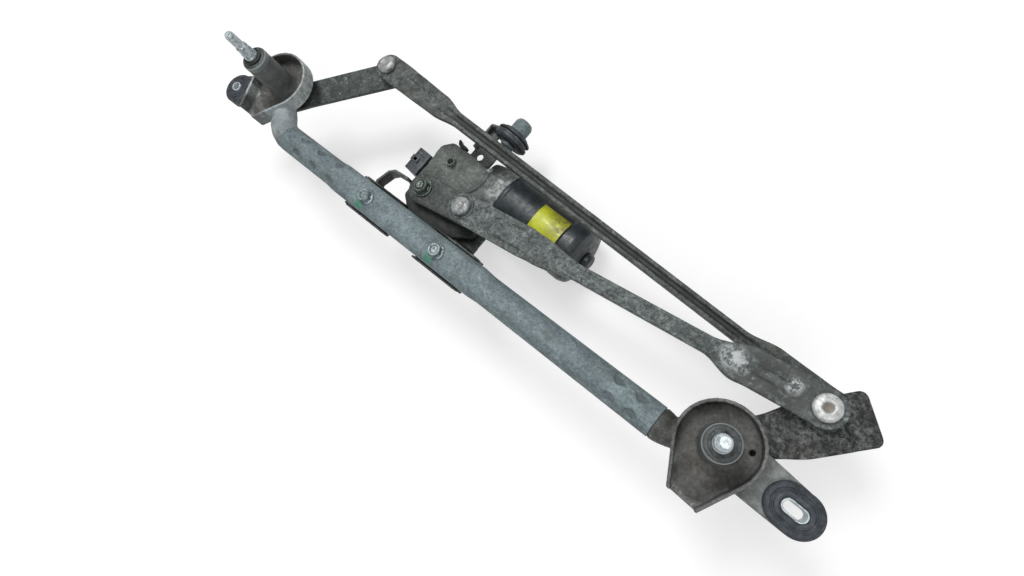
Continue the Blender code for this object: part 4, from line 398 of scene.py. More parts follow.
def seal_rubber():
    """The seal caps: dark teal grey, with a painted highlight in a thin pale line round their edge."""
    f = Finish("teal grey seal", 0.5)
    base = f.weather((0.105, 0.120, 0.120), (0.058, 0.068, 0.068), 0.006, 0.0024, 0.40)
    base = f.mix(f.patches(0.0040, 0.58, 0.70, 0.40), base, (0.22, 0.24, 0.24))
    # Painted highlight: a thin pale ring on the rounded edge of each seal.
    for pivot in ((0.0, 0.0, 0.0), (-0.503, 0.0, 0.0)):
        line = f.both(f.near(pivot, 0.0120, 0.0002, (1, 1, 0)), f.near(pivot, 0.0113, 0.0003, (1, 1, 0)), "SUBTRACT")
        base = f.mix(f.both(line, 0.75), base, (0.36, 0.40, 0.40))
    f.colour(base)
    return f.material


def label_film():
    """The bare label: yellow film, its far corner darker brown in ragged patches."""
    f = Finish("yellow label film", 0.34)
    clouds = f.ramp(f.noise(0.009, 5), (0.35, (0.50, 0.53, 0.020)), (0.65, (0.64, 0.68, 0.030)))
    dark_corner_patches = f.both(f.near((-0.198, 0.067, -0.126), 0.019, 0.006), f.patches(0.0040, 0.34, 0.56, 0.9))
    base = f.mix(dark_corner_patches, clouds, (0.20, 0.18, 0.045))
    f.colour(f.mix(f.patches(0.0034, 0.58, 0.72, 0.7, (1, 2.5, 1)), base, (0.19, 0.20, 0.05)))
    f.rough(f.ramp(f.noise(0.004, 4), (0.3, 0.28), (0.7, 0.55)))
    return f.material


HOUSING_LOOK = housing_alloy()
GEAR_LOOK = gear_alloy()
BRACKET_LOOK = bracket_paint()
LABEL_LOOK = label_film()
SLEEVE_LOOK = bright_steel("worn sleeve", (0.62, 0.70, 0.73), (0.40, 0.44, 0.46), 0.42, 0.3, 0.25)
BOLT_LOOK = bright_steel("bolt zinc", (0.36, 0.43, 0.445), (0.13, 0.16, 0.165), 0.36)
NUT_LOOK = bright_steel("aged nut zinc", (0.125, 0.162, 0.143), (0.046, 0.058, 0.050), 0.52, 0.7)
SHAFT_LOOK = bright_steel("bare shaft steel", (0.30, 0.33, 0.32), (0.12, 0.13, 0.12), 0.40)
RING_LOOK = bright_steel("blackened ring", (0.085, 0.092, 0.090), (0.040, 0.044, 0.042), 0.48, 0.3)
SEAL_LOOK = seal_rubber()
PEG_LOOK = moulded("slate peg", (0.225, 0.290, 0.308), (0.130, 0.170, 0.188), 0.55, 0.35)
CRANK_LOOK = weathered_steel("crank forging skin", (0.152, 0.172, 0.162), (0.062, 0.072, 0.067), 0.12, 0.35)
RIGHT_LEVER_LOOK = blackened_lever()
LEFT_LEVER_LOOK = weathered_steel("grey lever", (0.144, 0.168, 0.164), (0.064, 0.076, 0.074), 0.20, 0.55, 0.62)
BARE, GRIMY = (0.50, 0.53, 0.54), (0.058, 0.062, 0.058)
DRIVE_LINK_SPOTS = (((0.002, 0.054, -0.086), 0.030, 0.42, GRIMY), ((-0.0290, 0.0540, -0.086), 0.0080, 0.45, BARE),
                    ((0.013, 0.0629, -0.085), 0.0050, 0.47, BARE), ((-0.0200, 0.0525, -0.086), 0.0048, 0.50, BARE))
DRIVE_LINK_LOOK = weathered_steel("speckled drive link", (0.250, 0.292, 0.285), (0.118, 0.142, 0.137), 0.18, 0.65, 0.72,
                                  spots=DRIVE_LINK_SPOTS)
LOOKS = {
    "tube_zinc": zinc_tube(),
    "cast_alloy": HOUSING_LOOK,
    "bronze": bright_steel("sintered bronze", (0.42, 0.28, 0.13), (0.20, 0.13, 0.07), 0.45),
    "black_rubber": moulded("dusty rubber", (0.062, 0.074, 0.088), (0.028, 0.034, 0.042), 0.58, 0.40),
    "bright_zinc": bright_steel("bright zinc plate", (0.70, 0.77, 0.80), (0.34, 0.38, 0.39), 0.38, 0.35, 0.55),
    "dark_steel": weathered_steel("weathered pressing", (0.170, 0.184, 0.176), (0.066, 0.074, 0.070)),
    "black_steel": moulded("can paint", (0.046, 0.060, 0.069), (0.021, 0.027, 0.031), 0.38, 0.25),
    "dark_plastic": moulded("black moulding", (0.042, 0.052, 0.060), (0.020, 0.025, 0.030), 0.45, 0.30),
    "slate_plastic": moulded("slate moulding", (0.090, 0.105, 0.118), (0.045, 0.055, 0.066), 0.5),
    "white_plastic": moulded("aged white moulding", (0.52, 0.52, 0.50), (0.32, 0.32, 0.30), 0.45, 0.2),
    "yellow_film": LABEL_LOOK,
    "ball_steel": bright_steel("polished ball", (0.6, 0.62, 0.62), (0.4, 0.41, 0.41), 0.22, 0.2),
}
CAPS = {
    "bare cap": cap_finish("bare cap", (0.50, 0.53, 0.54), (0.13, 0.14, 0.13), (0.26, 0.26, 0.25), 0.5),
    "worn cap": cap_finish("worn cap", (0.72, 0.74, 0.74), (0.40, 0.40, 0.38), (0.150, 0.125, 0.100), 0.9, 0.0036),
    "pale cap": cap_finish("pale cap", (0.50, 0.52, 0.51), (0.17, 0.18, 0.17), (0.30, 0.30, 0.29), 0.4),
}


# Shapes: every piece is drawn at the heights of the assembly and lifted into the frame when it is kept

LIFT = -0.076
SLOT_OF = {part["node"]: part["material_slot"] for part in frame["record"]["subparts"]}
BODY_OF = {}
for body_name, members in frame["record"]["behaviour"]["bodies"].items():
    for member in members:
        BODY_OF[member] = body_name


def keep(name, mesh, stands_for, finish=None, sharp=38):
    """Lifts a mesh into the frame, names it, puts it on its body, hides the imported nodes it stands for, and gives it
    its finish, or the look of its first node's slot.
    """
    mesh.transform(Matrix.Translation((0, 0, LIFT)))
    return place(name, mesh, stands_for, finish, sharp)


def place(name, mesh, stands_for, finish=None, sharp=38):
    piece = bpy.data.objects.new(name, mesh)
    bpy.context.scene.collection.objects.link(piece)
    mesh.shade_smooth()
    mesh.set_sharp_from_angle(angle=math.radians(sharp))
    first = stands_for[0]
    mesh.materials.clear()
    mesh.materials.append(finish or LOOKS[SLOT_OF[first]])
    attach(piece, BODY_OF[first])
    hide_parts(*stands_for)
    return piece


def to_mesh(bm, name):
    bmesh.ops.remove_doubles(bm, verts=bm.verts, dist=0.0000005)
    bmesh.ops.recalc_face_normals(bm, faces=bm.faces)
    mesh = bpy.data.meshes.new(name)
    bm.to_mesh(mesh)
    bm.free()
    return mesh


def add_rings(bm, rings, around=False):
    """A skin over equal rings of points: its ends are closed, or its last ring meets its first."""
    rows = [[bm.verts.new(point) for point in ring] for ring in rings]
    pairs = list(zip(rows, rows[1:]))
    if around:
        pairs.append((rows[-1], rows[0]))
    for first, second in pairs:
        for index in range(len(first)):
            following = (index + 1) % len(first)
            bm.faces.new((first[index], first[following], second[following], second[index]))
    if not around:
        bm.faces.new(rows[0][::-1])
        bm.faces.new(rows[-1])


def skin(name, *skins, around=False):
    bm = bmesh.new()
    for rings in skins:
        add_rings(bm, rings, around)
    return to_mesh(bm, name)


def soften(points, radius, steps=3, closed=False):
    """Rounds the corners of a line of points, each by the radius or as far as its sides allow."""
    count = len(points)
    result = []
    for index, here in enumerate(points):
        if not closed and index in (0, count - 1):
            result.append(tuple(here))
            continue
        here = Vector(here)
        before = Vector(points[index - 1])
        after = Vector(points[(index + 1) % count])
        start = here + (before - here).normalized() * min(radius, (before - here).length * 0.45)
        stop = here + (after - here).normalized() * min(radius, (after - here).length * 0.45)
        for step in range(steps + 1):
            share = step / steps
            result.append(tuple(start * (1 - share) ** 2 + here * (2 * share * (1 - share)) + stop * share ** 2))
    return result


def round_ring(radius, z, steps, stretch=0.0):
    """A circle, or two half circles pulled apart along X by the stretch."""
    points = []
    for index in range(steps):
        angle = 2 * math.pi * (index + 0.5) / steps
        x = math.cos(angle)
        points.append((radius * x + math.copysign(stretch, x), radius * math.sin(angle), z))
    return points


def turn(profile, steps=72, around=False, stretch=0.0, round_by=0.0003, at=(0, 0, 0), tilt=None):
    """Rings of a turned piece, its profile given from top to bottom, about Z or about a tilted axis."""
    soft = soften([(radius, 0, z) for radius, z in profile], round_by, 3, around)
    base = Matrix.Translation(at) @ (tilt or Matrix.Identity(4))
    rings = []
    for radius, _, z in soft:
        rings.append([base @ Vector(point) for point in round_ring(max(radius, 0.0002), z, steps, stretch)])
    return rings


def turned(name, profile, **ways):
    around = ways.get("around", False)
    return skin(name, turn(profile, **ways), around=around)


ALONG_X = Matrix.Rotation(math.pi / 2, 4, "Y")
ALONG_Y = Matrix.Rotation(-math.pi / 2, 4, "X")


def hexagon_ring(half_flats, clip, z, steps=72):
    """A hexagon whose corners are cut back to a circle, which makes the chamfer of a screw's head."""
    points = []
    for index in range(steps):
        angle = 2 * math.pi * index / steps
        local = math.fmod(angle + math.pi / 6, math.pi / 3) - math.pi / 6
        radius = min(half_flats / math.cos(local), clip)
        points.append((radius * math.cos(angle), radius * math.sin(angle), z))
    return points


def flat_plate(name, outline, low, high, edge=0.0004, holes=()):
    """A plate with rounded edges, cut from an outline with holes."""
    curve = bpy.data.curves.new(name, "CURVE")
    curve.dimensions = "2D"
    curve.fill_mode = "BOTH"
    curve.extrude = (high - low) / 2 - edge
    curve.bevel_depth = edge
    curve.bevel_resolution = 2
    curve.offset = -edge
    for loop in (outline, *holes):
        spline = curve.splines.new("POLY")
        spline.points.add(len(loop) - 1)
        for point, (x, y) in zip(spline.points, loop):
            point.co = (x, y, 0, 1)
        spline.use_cyclic_u = True
    shape = bpy.data.objects.new(name, curve)
    bpy.context.scene.collection.objects.link(shape)
    mesh = baked(shape)
    bm = bmesh.new()
    bm.from_mesh(mesh)
    bmesh.ops.translate(bm, verts=bm.verts, vec=(0, 0, (low + high) / 2))
    bpy.data.objects.remove(shape)
    return to_mesh(bm, name)


def baked(obj):
    """The plain mesh of an object with its modifiers."""
    graph = bpy.context.evaluated_depsgraph_get()
    return bpy.data.meshes.new_from_object(obj.evaluated_get(graph))


def arc(radius, start, stop, count, centre=(0, 0)):
    points = []
    for index in range(count + 1):
        angle = math.radians(start + (stop - start) * index / count)
        points.append((centre[0] + radius * math.cos(angle), centre[1] + radius * math.sin(angle)))
    return points


def solid_of(node, name):
    """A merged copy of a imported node's mesh, to carve or round further."""
    bm = bmesh.new()
    bm.from_mesh(NODES[node].data)
    bmesh.ops.remove_doubles(bm, verts=bm.verts, dist=0.00001)
    mesh = bpy.data.meshes.new(name)
    bm.to_mesh(mesh)
    bm.free()
    return mesh


def eased(node, name, width, segments=3, angle=30):
    """A node's own form with every sharp edge rounded."""
    obj = bpy.data.objects.new(name, solid_of(node, name))
    bpy.context.scene.collection.objects.link(obj)
    join = obj.modifiers.new("flat faces", "DECIMATE")
    join.decimate_type = "DISSOLVE"
    join.angle_limit = math.radians(1)
    bevel = obj.modifiers.new("rounded edges", "BEVEL")
    bevel.width = width
    bevel.segments = segments
    bevel.limit_method = "ANGLE"
    bevel.angle_limit = math.radians(angle)
    bevel.use_clamp_overlap = True
    mesh = baked(obj)
    bpy.data.objects.remove(obj)
    return mesh


def cast(name, meshes, grain, passes):
    """One poured or pressed body: the solids melt together, and their corners fillet."""
    bm = bmesh.new()
    for mesh in meshes:
        bm.from_mesh(mesh)
    melted = bpy.data.meshes.new(name)
    bm.to_mesh(melted)
    bm.free()
    obj = bpy.data.objects.new(name, melted)
    bpy.context.scene.collection.objects.link(obj)
    melt = obj.modifiers.new("melt", "REMESH")
    melt.mode = "VOXEL"
    melt.voxel_size = grain
    fillet = obj.modifiers.new("fillet", "SMOOTH")
    fillet.factor = 0.5
    fillet.iterations = passes
    mesh = baked(obj)
    bpy.data.objects.remove(obj)
    return mesh


# Geometry node trees

def tree_with(name, *sizes):
    """A geometry tree with named inputs, returned with its input and output nodes."""
    tree = bpy.data.node_groups.new(name, "GeometryNodeTree")
    tree.interface.new_socket("Geometry", in_out="INPUT", socket_type="NodeSocketGeometry")
    for label, kind, value in sizes:
        socket = tree.interface.new_socket(label, in_out="INPUT", socket_type=kind)
        if value is not None:
            socket.default_value = value
    tree.interface.new_socket("Geometry", in_out="OUTPUT", socket_type="NodeSocketGeometry")
    return tree, tree.nodes.new("NodeGroupInput"), tree.nodes.new("NodeGroupOutput")


def math_node(tree, operation, first, second):
    node = tree.nodes.new("ShaderNodeMath")
    node.operation = operation
    for socket, value in zip(node.inputs, (first, second)):
        if isinstance(value, (int, float)):
            socket.default_value = value
        else:
            tree.links.new(value, socket)
    return node.outputs[0]


def finish_tree(tree, given, out, geometry):
    """Ends a tree: instances become real mesh, joined to the core, with the finish on all of it."""
    real = tree.nodes.new("GeometryNodeRealizeInstances")
    paint = tree.nodes.new("GeometryNodeSetMaterial")
    tree.links.new(geometry, real.inputs["Geometry"])
    tree.links.new(real.outputs["Geometry"], paint.inputs["Geometry"])
    tree.links.new(given.outputs["Finish"], paint.inputs["Material"])
    tree.links.new(paint.outputs["Geometry"], out.inputs[0])


def thread_tree():
    """Winds a thread round the core: a coil of its own pitch, swept with a six sided section."""
    tree, given, out = tree_with(
        "screw thread", ("Radius", "NodeSocketFloat", 0.004), ("Foot", "NodeSocketFloat", 0.0),
        ("Length", "NodeSocketFloat", 0.012), ("Pitch", "NodeSocketFloat", 0.00125),
        ("Finish", "NodeSocketMaterial", None))
    coil = tree.nodes.new("GeometryNodeCurveSpiral")
    coil.inputs["Resolution"].default_value = 32
    turns = math_node(tree, "DIVIDE", given.outputs["Length"], given.outputs["Pitch"])
    tree.links.new(turns, coil.inputs["Rotations"])
    tree.links.new(given.outputs["Radius"], coil.inputs["Start Radius"])
    tree.links.new(given.outputs["Radius"], coil.inputs["End Radius"])
    tree.links.new(given.outputs["Length"], coil.inputs["Height"])
    section = tree.nodes.new("GeometryNodeCurvePrimitiveCircle")
    section.inputs["Resolution"].default_value = 6
    tree.links.new(math_node(tree, "MULTIPLY", given.outputs["Pitch"], 0.36), section.inputs["Radius"])
    sweep = tree.nodes.new("GeometryNodeCurveToMesh")
    sweep.inputs["Fill Caps"].default_value = True
    tree.links.new(coil.outputs["Curve"], sweep.inputs["Curve"])
    tree.links.new(section.outputs["Curve"], sweep.inputs["Profile Curve"])
    lift = tree.nodes.new("GeometryNodeTransform")
    place_at = tree.nodes.new("ShaderNodeCombineXYZ")
    tree.links.new(given.outputs["Foot"], place_at.inputs["Z"])
    tree.links.new(place_at.outputs["Vector"], lift.inputs["Translation"])
    tree.links.new(sweep.outputs["Mesh"], lift.inputs["Geometry"])
    both = tree.nodes.new("GeometryNodeJoinGeometry")
    tree.links.new(given.outputs["Geometry"], both.inputs[0])
    tree.links.new(lift.outputs["Geometry"], both.inputs[0])
    finish_tree(tree, given, out, both.outputs[0])
    return tree


def knurl_tree():
    """Sets straight ridges in a ring round the core, each leaning in with its cone."""
    tree, given, out = tree_with(
        "straight knurl", ("Radius", "NodeSocketFloat", 0.0058), ("Middle", "NodeSocketFloat", 0.0),
        ("Length", "NodeSocketFloat", 0.011), ("Ridge", "NodeSocketFloat", 0.0007),
        ("Lean", "NodeSocketFloat", 0.0), ("Count", "NodeSocketInt", 40), ("Finish", "NodeSocketMaterial", None))
    ring = tree.nodes.new("GeometryNodeMeshCircle")
    tree.links.new(given.outputs["Count"], ring.inputs["Vertices"])
    tree.links.new(given.outputs["Radius"], ring.inputs["Radius"])
    bar = tree.nodes.new("GeometryNodeMeshCone")
    bar.inputs["Vertices"].default_value = 4
    bar.fill_type = "NGON"
    tree.links.new(given.outputs["Ridge"], bar.inputs["Radius Bottom"])
    tree.links.new(math_node(tree, "MULTIPLY", given.outputs["Ridge"], 0.8), bar.inputs["Radius Top"])
    tree.links.new(given.outputs["Length"], bar.inputs["Depth"])
    centred = tree.nodes.new("GeometryNodeTransform")
    shift = tree.nodes.new("ShaderNodeCombineXYZ")
    tree.links.new(math_node(tree, "MULTIPLY", given.outputs["Length"], -0.5), shift.inputs["Z"])
    tree.links.new(shift.outputs["Vector"], centred.inputs["Translation"])
    tree.links.new(bar.outputs["Mesh"], centred.inputs["Geometry"])
    tilt = tree.nodes.new("GeometryNodeTransform")
    lean = tree.nodes.new("ShaderNodeCombineXYZ")
    tree.links.new(given.outputs["Lean"], lean.inputs["Y"])
    tree.links.new(lean.outputs["Vector"], tilt.inputs["Rotation"])
    tree.links.new(centred.outputs["Geometry"], tilt.inputs["Geometry"])
    index = tree.nodes.new("GeometryNodeInputIndex")
    share = math_node(tree, "DIVIDE", index.outputs[0], given.outputs["Count"])
    spin = tree.nodes.new("ShaderNodeCombineXYZ")
    tree.links.new(math_node(tree, "MULTIPLY", share, 2 * math.pi), spin.inputs["Z"])
    ridges = tree.nodes.new("GeometryNodeInstanceOnPoints")
    tree.links.new(ring.outputs["Mesh"], ridges.inputs["Points"])
    tree.links.new(tilt.outputs["Geometry"], ridges.inputs["Instance"])
    tree.links.new(spin.outputs["Vector"], ridges.inputs["Rotation"])
    lift = tree.nodes.new("GeometryNodeTransform")
    place_at = tree.nodes.new("ShaderNodeCombineXYZ")
    tree.links.new(given.outputs["Middle"], place_at.inputs["Z"])
    tree.links.new(place_at.outputs["Vector"], lift.inputs["Translation"])
    tree.links.new(ridges.outputs["Instances"], lift.inputs["Geometry"])
    both = tree.nodes.new("GeometryNodeJoinGeometry")
    tree.links.new(given.outputs["Geometry"], both.inputs[0])
    tree.links.new(lift.outputs["Geometry"], both.inputs[0])
    finish_tree(tree, given, out, both.outputs[0])
    return tree


def grown(mesh, tree, finish, **sizes):
    """Runs a tree on a mesh with the given sizes, and returns the plain result."""
    obj = bpy.data.objects.new(mesh.name, mesh)
    modifier = obj.modifiers.new(tree.name, "NODES")
    modifier.node_group = tree
    for item in tree.interface.items_tree:
        if item.item_type == "SOCKET" and item.in_out == "INPUT":
            if item.name in sizes:
                modifier[item.identifier] = sizes[item.name]
            elif item.name == "Finish":
                modifier[item.identifier] = finish
    bpy.context.scene.collection.objects.link(obj)
    result = baked(obj)
    obj.modifiers.remove(modifier)
    bpy.data.objects.remove(obj)
    return result


THREAD = thread_tree()
KNURL = knurl_tree()

for node_name, node in NODES.items():
    node.data.materials.clear()
    node.data.materials.append(LOOKS[SLOT_OF[node_name]])


# Places and sizes of the assembly, at its own heights

SPAN = 0.503
LEFT_PIVOT = Vector((-SPAN, 0, 0))
RIGHT_PIVOT = Vector((0, 0, 0))
SHAFT = Vector((-0.331, 0.011, 0))
CRANK_REACH = 0.052
MOTOR_Y = 0.0545
MOTOR_Z = -0.076
CAN_START = -0.269
CAN_RADIUS = 0.0295
CAN_LENGTH = 0.091
LEVER_TOP = -0.0210
LEVER_SHEET = 0.004
LINK_SHEET = 0.0026
ROCKER_BALL_Z = -0.0100
UNDER_BALL_Z = -0.0410
CRANK_TOP = -0.0385
CRANK_BALL_Z = -0.0285
GAP = 0.0003


def polar(radius, degrees, z=0.0):
    angle = math.radians(degrees)
    return Vector((radius * math.cos(angle), radius * math.sin(angle), z))


DRIVE_BALL = polar(0.073, 60.6)
LONG_BALL_RIGHT = polar(0.0908, 53.5)
LONG_BALL_LEFT = LEFT_PIVOT + polar(0.1073, 46.1)
CRANK_BALL = SHAFT + (DRIVE_BALL - SHAFT).normalized() * CRANK_REACH


# Frame tube

TUBE_RADIUS = 0.01235
TUBE_WALL = 0.0018
TUBE_ENDS = (-SPAN + 0.052, -0.0386)
TUBE_OFFSETS = (0.0130, 0.0367)
BOLT_PLACES = (0.334, 0.2485)
FLAT_ENDS = (-0.334 - 0.038, -0.2485 + 0.038)
FLAT_BLEND = 0.014
FLAT_HALVES = (0.0133, 0.0105)
PUNCH_ROWS = (0.025, 0.049, 0.072)
LAST_PUNCH_ROWS = (0.0165, 0.035)


def ease(share):
    share = max(0.0, min(1.0, share))
    return share * share * (3 - 2 * share)


def tube_turn():
    angle = math.atan2(TUBE_OFFSETS[1] - TUBE_OFFSETS[0], SPAN)
    return Matrix.Translation((0, -TUBE_OFFSETS[0], 0)) @ Matrix.Rotation(angle, 4, "Z")


def punch_depth(x, angle):
    """How far the staking punches have driven the tube's wall in at one place."""
    depth = 0.0
    rows = [TUBE_ENDS[0] + row for row in PUNCH_ROWS] + [TUBE_ENDS[1] - row for row in LAST_PUNCH_ROWS]
    for row in rows:
        for degrees in (52, 128, 232, 308):
            round_by = math.radians(degrees) - angle
            round_by = math.atan2(math.sin(round_by), math.cos(round_by)) * TUBE_RADIUS
            reach = math.hypot((x - row) / 0.0056, round_by / 0.0046)
            depth += 0.0016 * ease((1.0 - reach) / 0.36)
    return depth


def tube_ring(x, inset, steps=144):
    flat = ease((x - FLAT_ENDS[0] + FLAT_BLEND) / FLAT_BLEND)
    flat *= ease((FLAT_ENDS[1] + FLAT_BLEND - x) / FLAT_BLEND)
    half_width = TUBE_RADIUS + (FLAT_HALVES[0] - TUBE_RADIUS) * flat - inset
    half_height = TUBE_RADIUS + (FLAT_HALVES[1] - TUBE_RADIUS) * flat - inset
    power = 2 / (2 + 1.2 * flat)
    way = tube_turn()
    points = []
    for index in range(steps):
        angle = 2 * math.pi * (index + 0.5) / steps
        across = math.cos(angle)
        above = math.sin(angle)
        press = punch_depth(x, angle)
        y = math.copysign(abs(across) ** power, across) * half_width - across * press
        z = math.copysign(abs(above) ** power, above) * half_height - above * press
        points.append(way @ Vector((x, y, z)))
    return points


def make_tube():
    """The galvanised tube: pressed flat under the bracket, with rows of punch marks at each end."""
    start, stop = TUBE_ENDS
    near = [start + 0.0006 * step for step in range(100)]
    far = [stop - 0.0006 * step for step in range(100)]
    between_them = [near[-1] + (far[-1] - near[-1]) * step / 110 for step in range(1, 110)]
    places = near + between_them + far[::-1]
    lip = 0.0005
    outer = [tube_ring(start, lip)] + [tube_ring(max(x, start + 0.0003), 0) for x in places[:-1]]
    outer += [tube_ring(stop - 0.0003, 0), tube_ring(stop, lip)]
    inner = [tube_ring(x, TUBE_WALL) for x in (stop, stop - 0.05, start + 0.05, start)]
    mesh = skin("zinc_tube", outer + inner, around=True)
    # The depth of the punch dents, which the tube's finish turns into painted shade.
    punched = mesh.attributes.new("punched", "FLOAT", "POINT")
    back = tube_turn().inverted()
    for vertex, mark in zip(mesh.vertices, punched.data):
        here = back @ vertex.co
        mark.value = min(punch_depth(here.x, math.atan2(here.z, here.y)) / 0.0022, 1.0)
    keep("zinc_tube", mesh, ["frame_tube"])


# Levers and links

def between(stations, s):
    if s <= stations[0][0]:
        return list(stations[0][1:])
    for first, second in zip(stations, stations[1:]):
        if s <= second[0]:
            share = ease((s - first[0]) / (second[0] - first[0]))
            return [a + (b - a) * share for a, b in zip(first[1:], second[1:])]
    return list(stations[-1][1:])


def channel_loop(half, top, sheet, flange, groove, round_by):
    """A pressed section: rolled flanges, a groove or a raised bead in the middle, and soft corners."""
    wall = min(sheet, half * 0.35)
    bed = half * 0.64 if groove < 0 else min(0.0042, half * 0.45)
    bottom = max(bed - 0.0018, bed * 0.55)
    right = [(half, top - sheet - flange), (half, top), (bed, top), (bottom, top - groove)]
    under = [(bottom, top - sheet - groove), (bed, top - sheet), (half - wall * 1.15, top - sheet),
             (half - wall, top - sheet - flange)]
    left = [(-w, z) for w, z in reversed(right)]
    under_left = [(-w, z) for w, z in reversed(under)]
    loop = right + left + under_left + under
    return soften([(w, z, 0) for w, z in loop], round_by, 4, True)


def strip(name, start, heading, places, profile, lean=((0, 0),)):
    """A pressed strip lofted along its heading: the profile gives half width, top, flange and groove."""
    along = heading.normalized()
    across = Vector((-along.y, along.x, 0))
    rings = []
    for s in places:
        half, top, sheet, flange, groove = profile(s)
        loop = channel_loop(half, top, sheet, flange, groove, min(0.0011, half * 0.3))
        centre = Vector((start.x, start.y, 0)) + along * s + across * between(lean, s)[0]
        rings.append([centre + across * w + Vector((0, 0, z)) for w, z, _ in loop])
    return skin(name, rings)


def end_places(length, first, last, middle_count, round_count=22):
    """Places along a strip that crowd at its half round ends."""
    head = [-first * math.cos(math.pi / 2 * step / round_count) for step in range(round_count)]
    tail = [length + last * math.cos(math.pi / 2 * step / round_count) for step in range(round_count)]
    middle = [length * step / middle_count for step in range(middle_count + 1)]
    return head + middle + tail[::-1]


def rounded_half(s, length, first, last, half):
    """A strip's half width, drawn in over its round ends."""
    if s < 0:
        return max(math.sqrt(max(first ** 2 - s ** 2, 0)), first * 0.12)
    if s > length:
        return max(math.sqrt(max(last ** 2 - (s - length) ** 2, 0)), last * 0.12)
    return half


def make_levers():
    """The two rocker levers: thick pressings, the right one stepped down at its end."""
    heading = LONG_BALL_LEFT - LEFT_PIVOT
    length = heading.length
    widths = ((0, 0.015), (0.020, 0.0142), (length, 0.0142))

    def left_profile(s):
        half = rounded_half(s, length, 0.015, 0.0142, between(widths, s)[0])
        return half, LEVER_TOP, LEVER_SHEET, 0.0, 0.0

    places = end_places(length, 0.015, 0.0142, 60)
    mesh = strip("left_lever_pressing", LEFT_PIVOT, heading, places, left_profile)
    keep("left_lever_pressing", mesh, ["left_lever"], LEFT_LEVER_LOOK)
    end = 0.103
    right_widths = ((0, 0.015), (0.030, 0.015), (0.058, 0.0189), (end, 0.0189))

    def right_profile(s):
        half = rounded_half(s, end, 0.015, 0.015, between(right_widths, s)[0])
        tip = max(s - (end - 0.005), 0)
        half -= 0.005 - math.sqrt(max(0.005 ** 2 - tip ** 2, 0))
        top = LEVER_TOP - 0.005 * ease((s - 0.0812) / 0.0046)
        return half, top, LEVER_SHEET, 0.0, 0.0

    places = [-0.015 * math.cos(math.pi / 2 * step / 22) for step in range(22)]
    places += [end * step / 150 for step in range(146)]
    places += [end - 0.005 + 0.005 * math.sin(math.pi / 2 * step / 12) for step in range(5, 13)]
    mesh = strip("right_lever_pressing", RIGHT_PIVOT, polar(1, 52.0), sorted(places), right_profile)
    keep("right_lever_pressing", mesh, ["right_lever"], RIGHT_LEVER_LOOK)


def socket_collar(at, centre_z, inner, outer=0.0118):
    low = centre_z + LINK_SHEET / 2 - 0.0006
    high = centre_z + LINK_SHEET / 2 + 0.0010
    profile = [(inner + 0.0004, low + 0.0003), (inner + 0.0008, high), (outer - 0.0006, high), (outer, low)]
    return turn(profile + [(inner, low)], around=True, at=(at.x, at.y, 0), round_by=0.0006)


def make_drive_link():
    """The drive link: a wide raised panel by the crank, a rolled waist, and a beaded end by the rocker."""
    way = DRIVE_BALL - CRANK_BALL
    length = way.length
    end = 0.0138
    shape = (
        (0, end, 0, 0), (0.030, end, 0, 0), (0.038, end, 0, -0.0014), (0.068, end, 0, -0.0014),
        (0.082, end * 0.92, 0.0006, 0), (0.124, 0.0066, 0.0050, -0.0008), (length - 0.085, 0.0066, 0.0050, -0.0008),
        (length - 0.056, end, 0.0035, 0), (length - 0.046, end, 0.003, 0.0016), (length - 0.030, end, 0.002, 0.0016),
        (length - 0.018, end, 0.0010, 0), (length, end, 0, 0))
    lean = ((0.070, 0), (0.100, -0.0008), (length - 0.085, -0.0008), (length - 0.066, -0.0016), (length - 0.048, 0))

    def profile(s):
        half, flange, groove = between(shape, s)
        share = max(0, min(1, (s - 0.016) / (length - 0.032)))
        top = CRANK_BALL_Z + LINK_SHEET / 2 + (ROCKER_BALL_Z - CRANK_BALL_Z) * share
        return rounded_half(s, length, end, end, half), top, LINK_SHEET, flange, groove

    mesh = strip("drive_link_pressing", CRANK_BALL, way, end_places(length, end, end, 170), profile, lean)
    bm = bmesh.new()
    bm.from_mesh(mesh)
    add_rings(bm, socket_collar(CRANK_BALL, CRANK_BALL_Z, 0.0091), True)
    keep("drive_link_pressing", to_mesh(bm, "drive_link_pressing"), ["drive_link_rod"], DRIVE_LINK_LOOK)


def make_long_link():
    """The long link: flat ends, then a channel with rolled flanges and a deep groove down its middle."""
    way = LONG_BALL_RIGHT - LONG_BALL_LEFT
    length = way.length
    end = 0.0125
    waist = 0.0062
    shape = (
        (0, end, 0, 0), (0.020, end, 0, 0), (0.034, end * 0.96, 0.0010, 0.0010), (0.070, end * 0.88, 0.0020, 0.0010),
        (0.095, waist, 0.0058, 0.0022), (length - 0.088, waist * 0.9, 0.0058, 0.0022),
        (length - 0.060, end * 0.86, 0.0035, 0.0008), (length - 0.024, end * 0.9, 0.0010, 0), (length, end, 0, 0))

    def profile(s):
        half, flange, groove = between(shape, s)
        share = max(0, min(1, (s - 0.016) / (length - 0.032)))
        top = ROCKER_BALL_Z + LINK_SHEET / 2 + (UNDER_BALL_Z - ROCKER_BALL_Z) * share
        return rounded_half(s, length, end, end, half), top, LINK_SHEET, flange, groove

    mesh = strip("long_link_pressing", LONG_BALL_LEFT, way, end_places(length, end, end, 200), profile)
    across = Vector((-way.y, way.x, 0)).normalized()
    middle = (LONG_BALL_LEFT + LONG_BALL_RIGHT) / 2 + Vector((0.004, 0, LIFT - 0.025))
    finish = weathered_steel("grey long link", (0.192, 0.216, 0.204), (0.074, 0.084, 0.077), 0.25, 0.50, 0.62,
                             (middle, across, 0.0024, 0.160))
    keep("long_link_pressing", mesh, ["long_link_rod"], finish)


# Ball joints

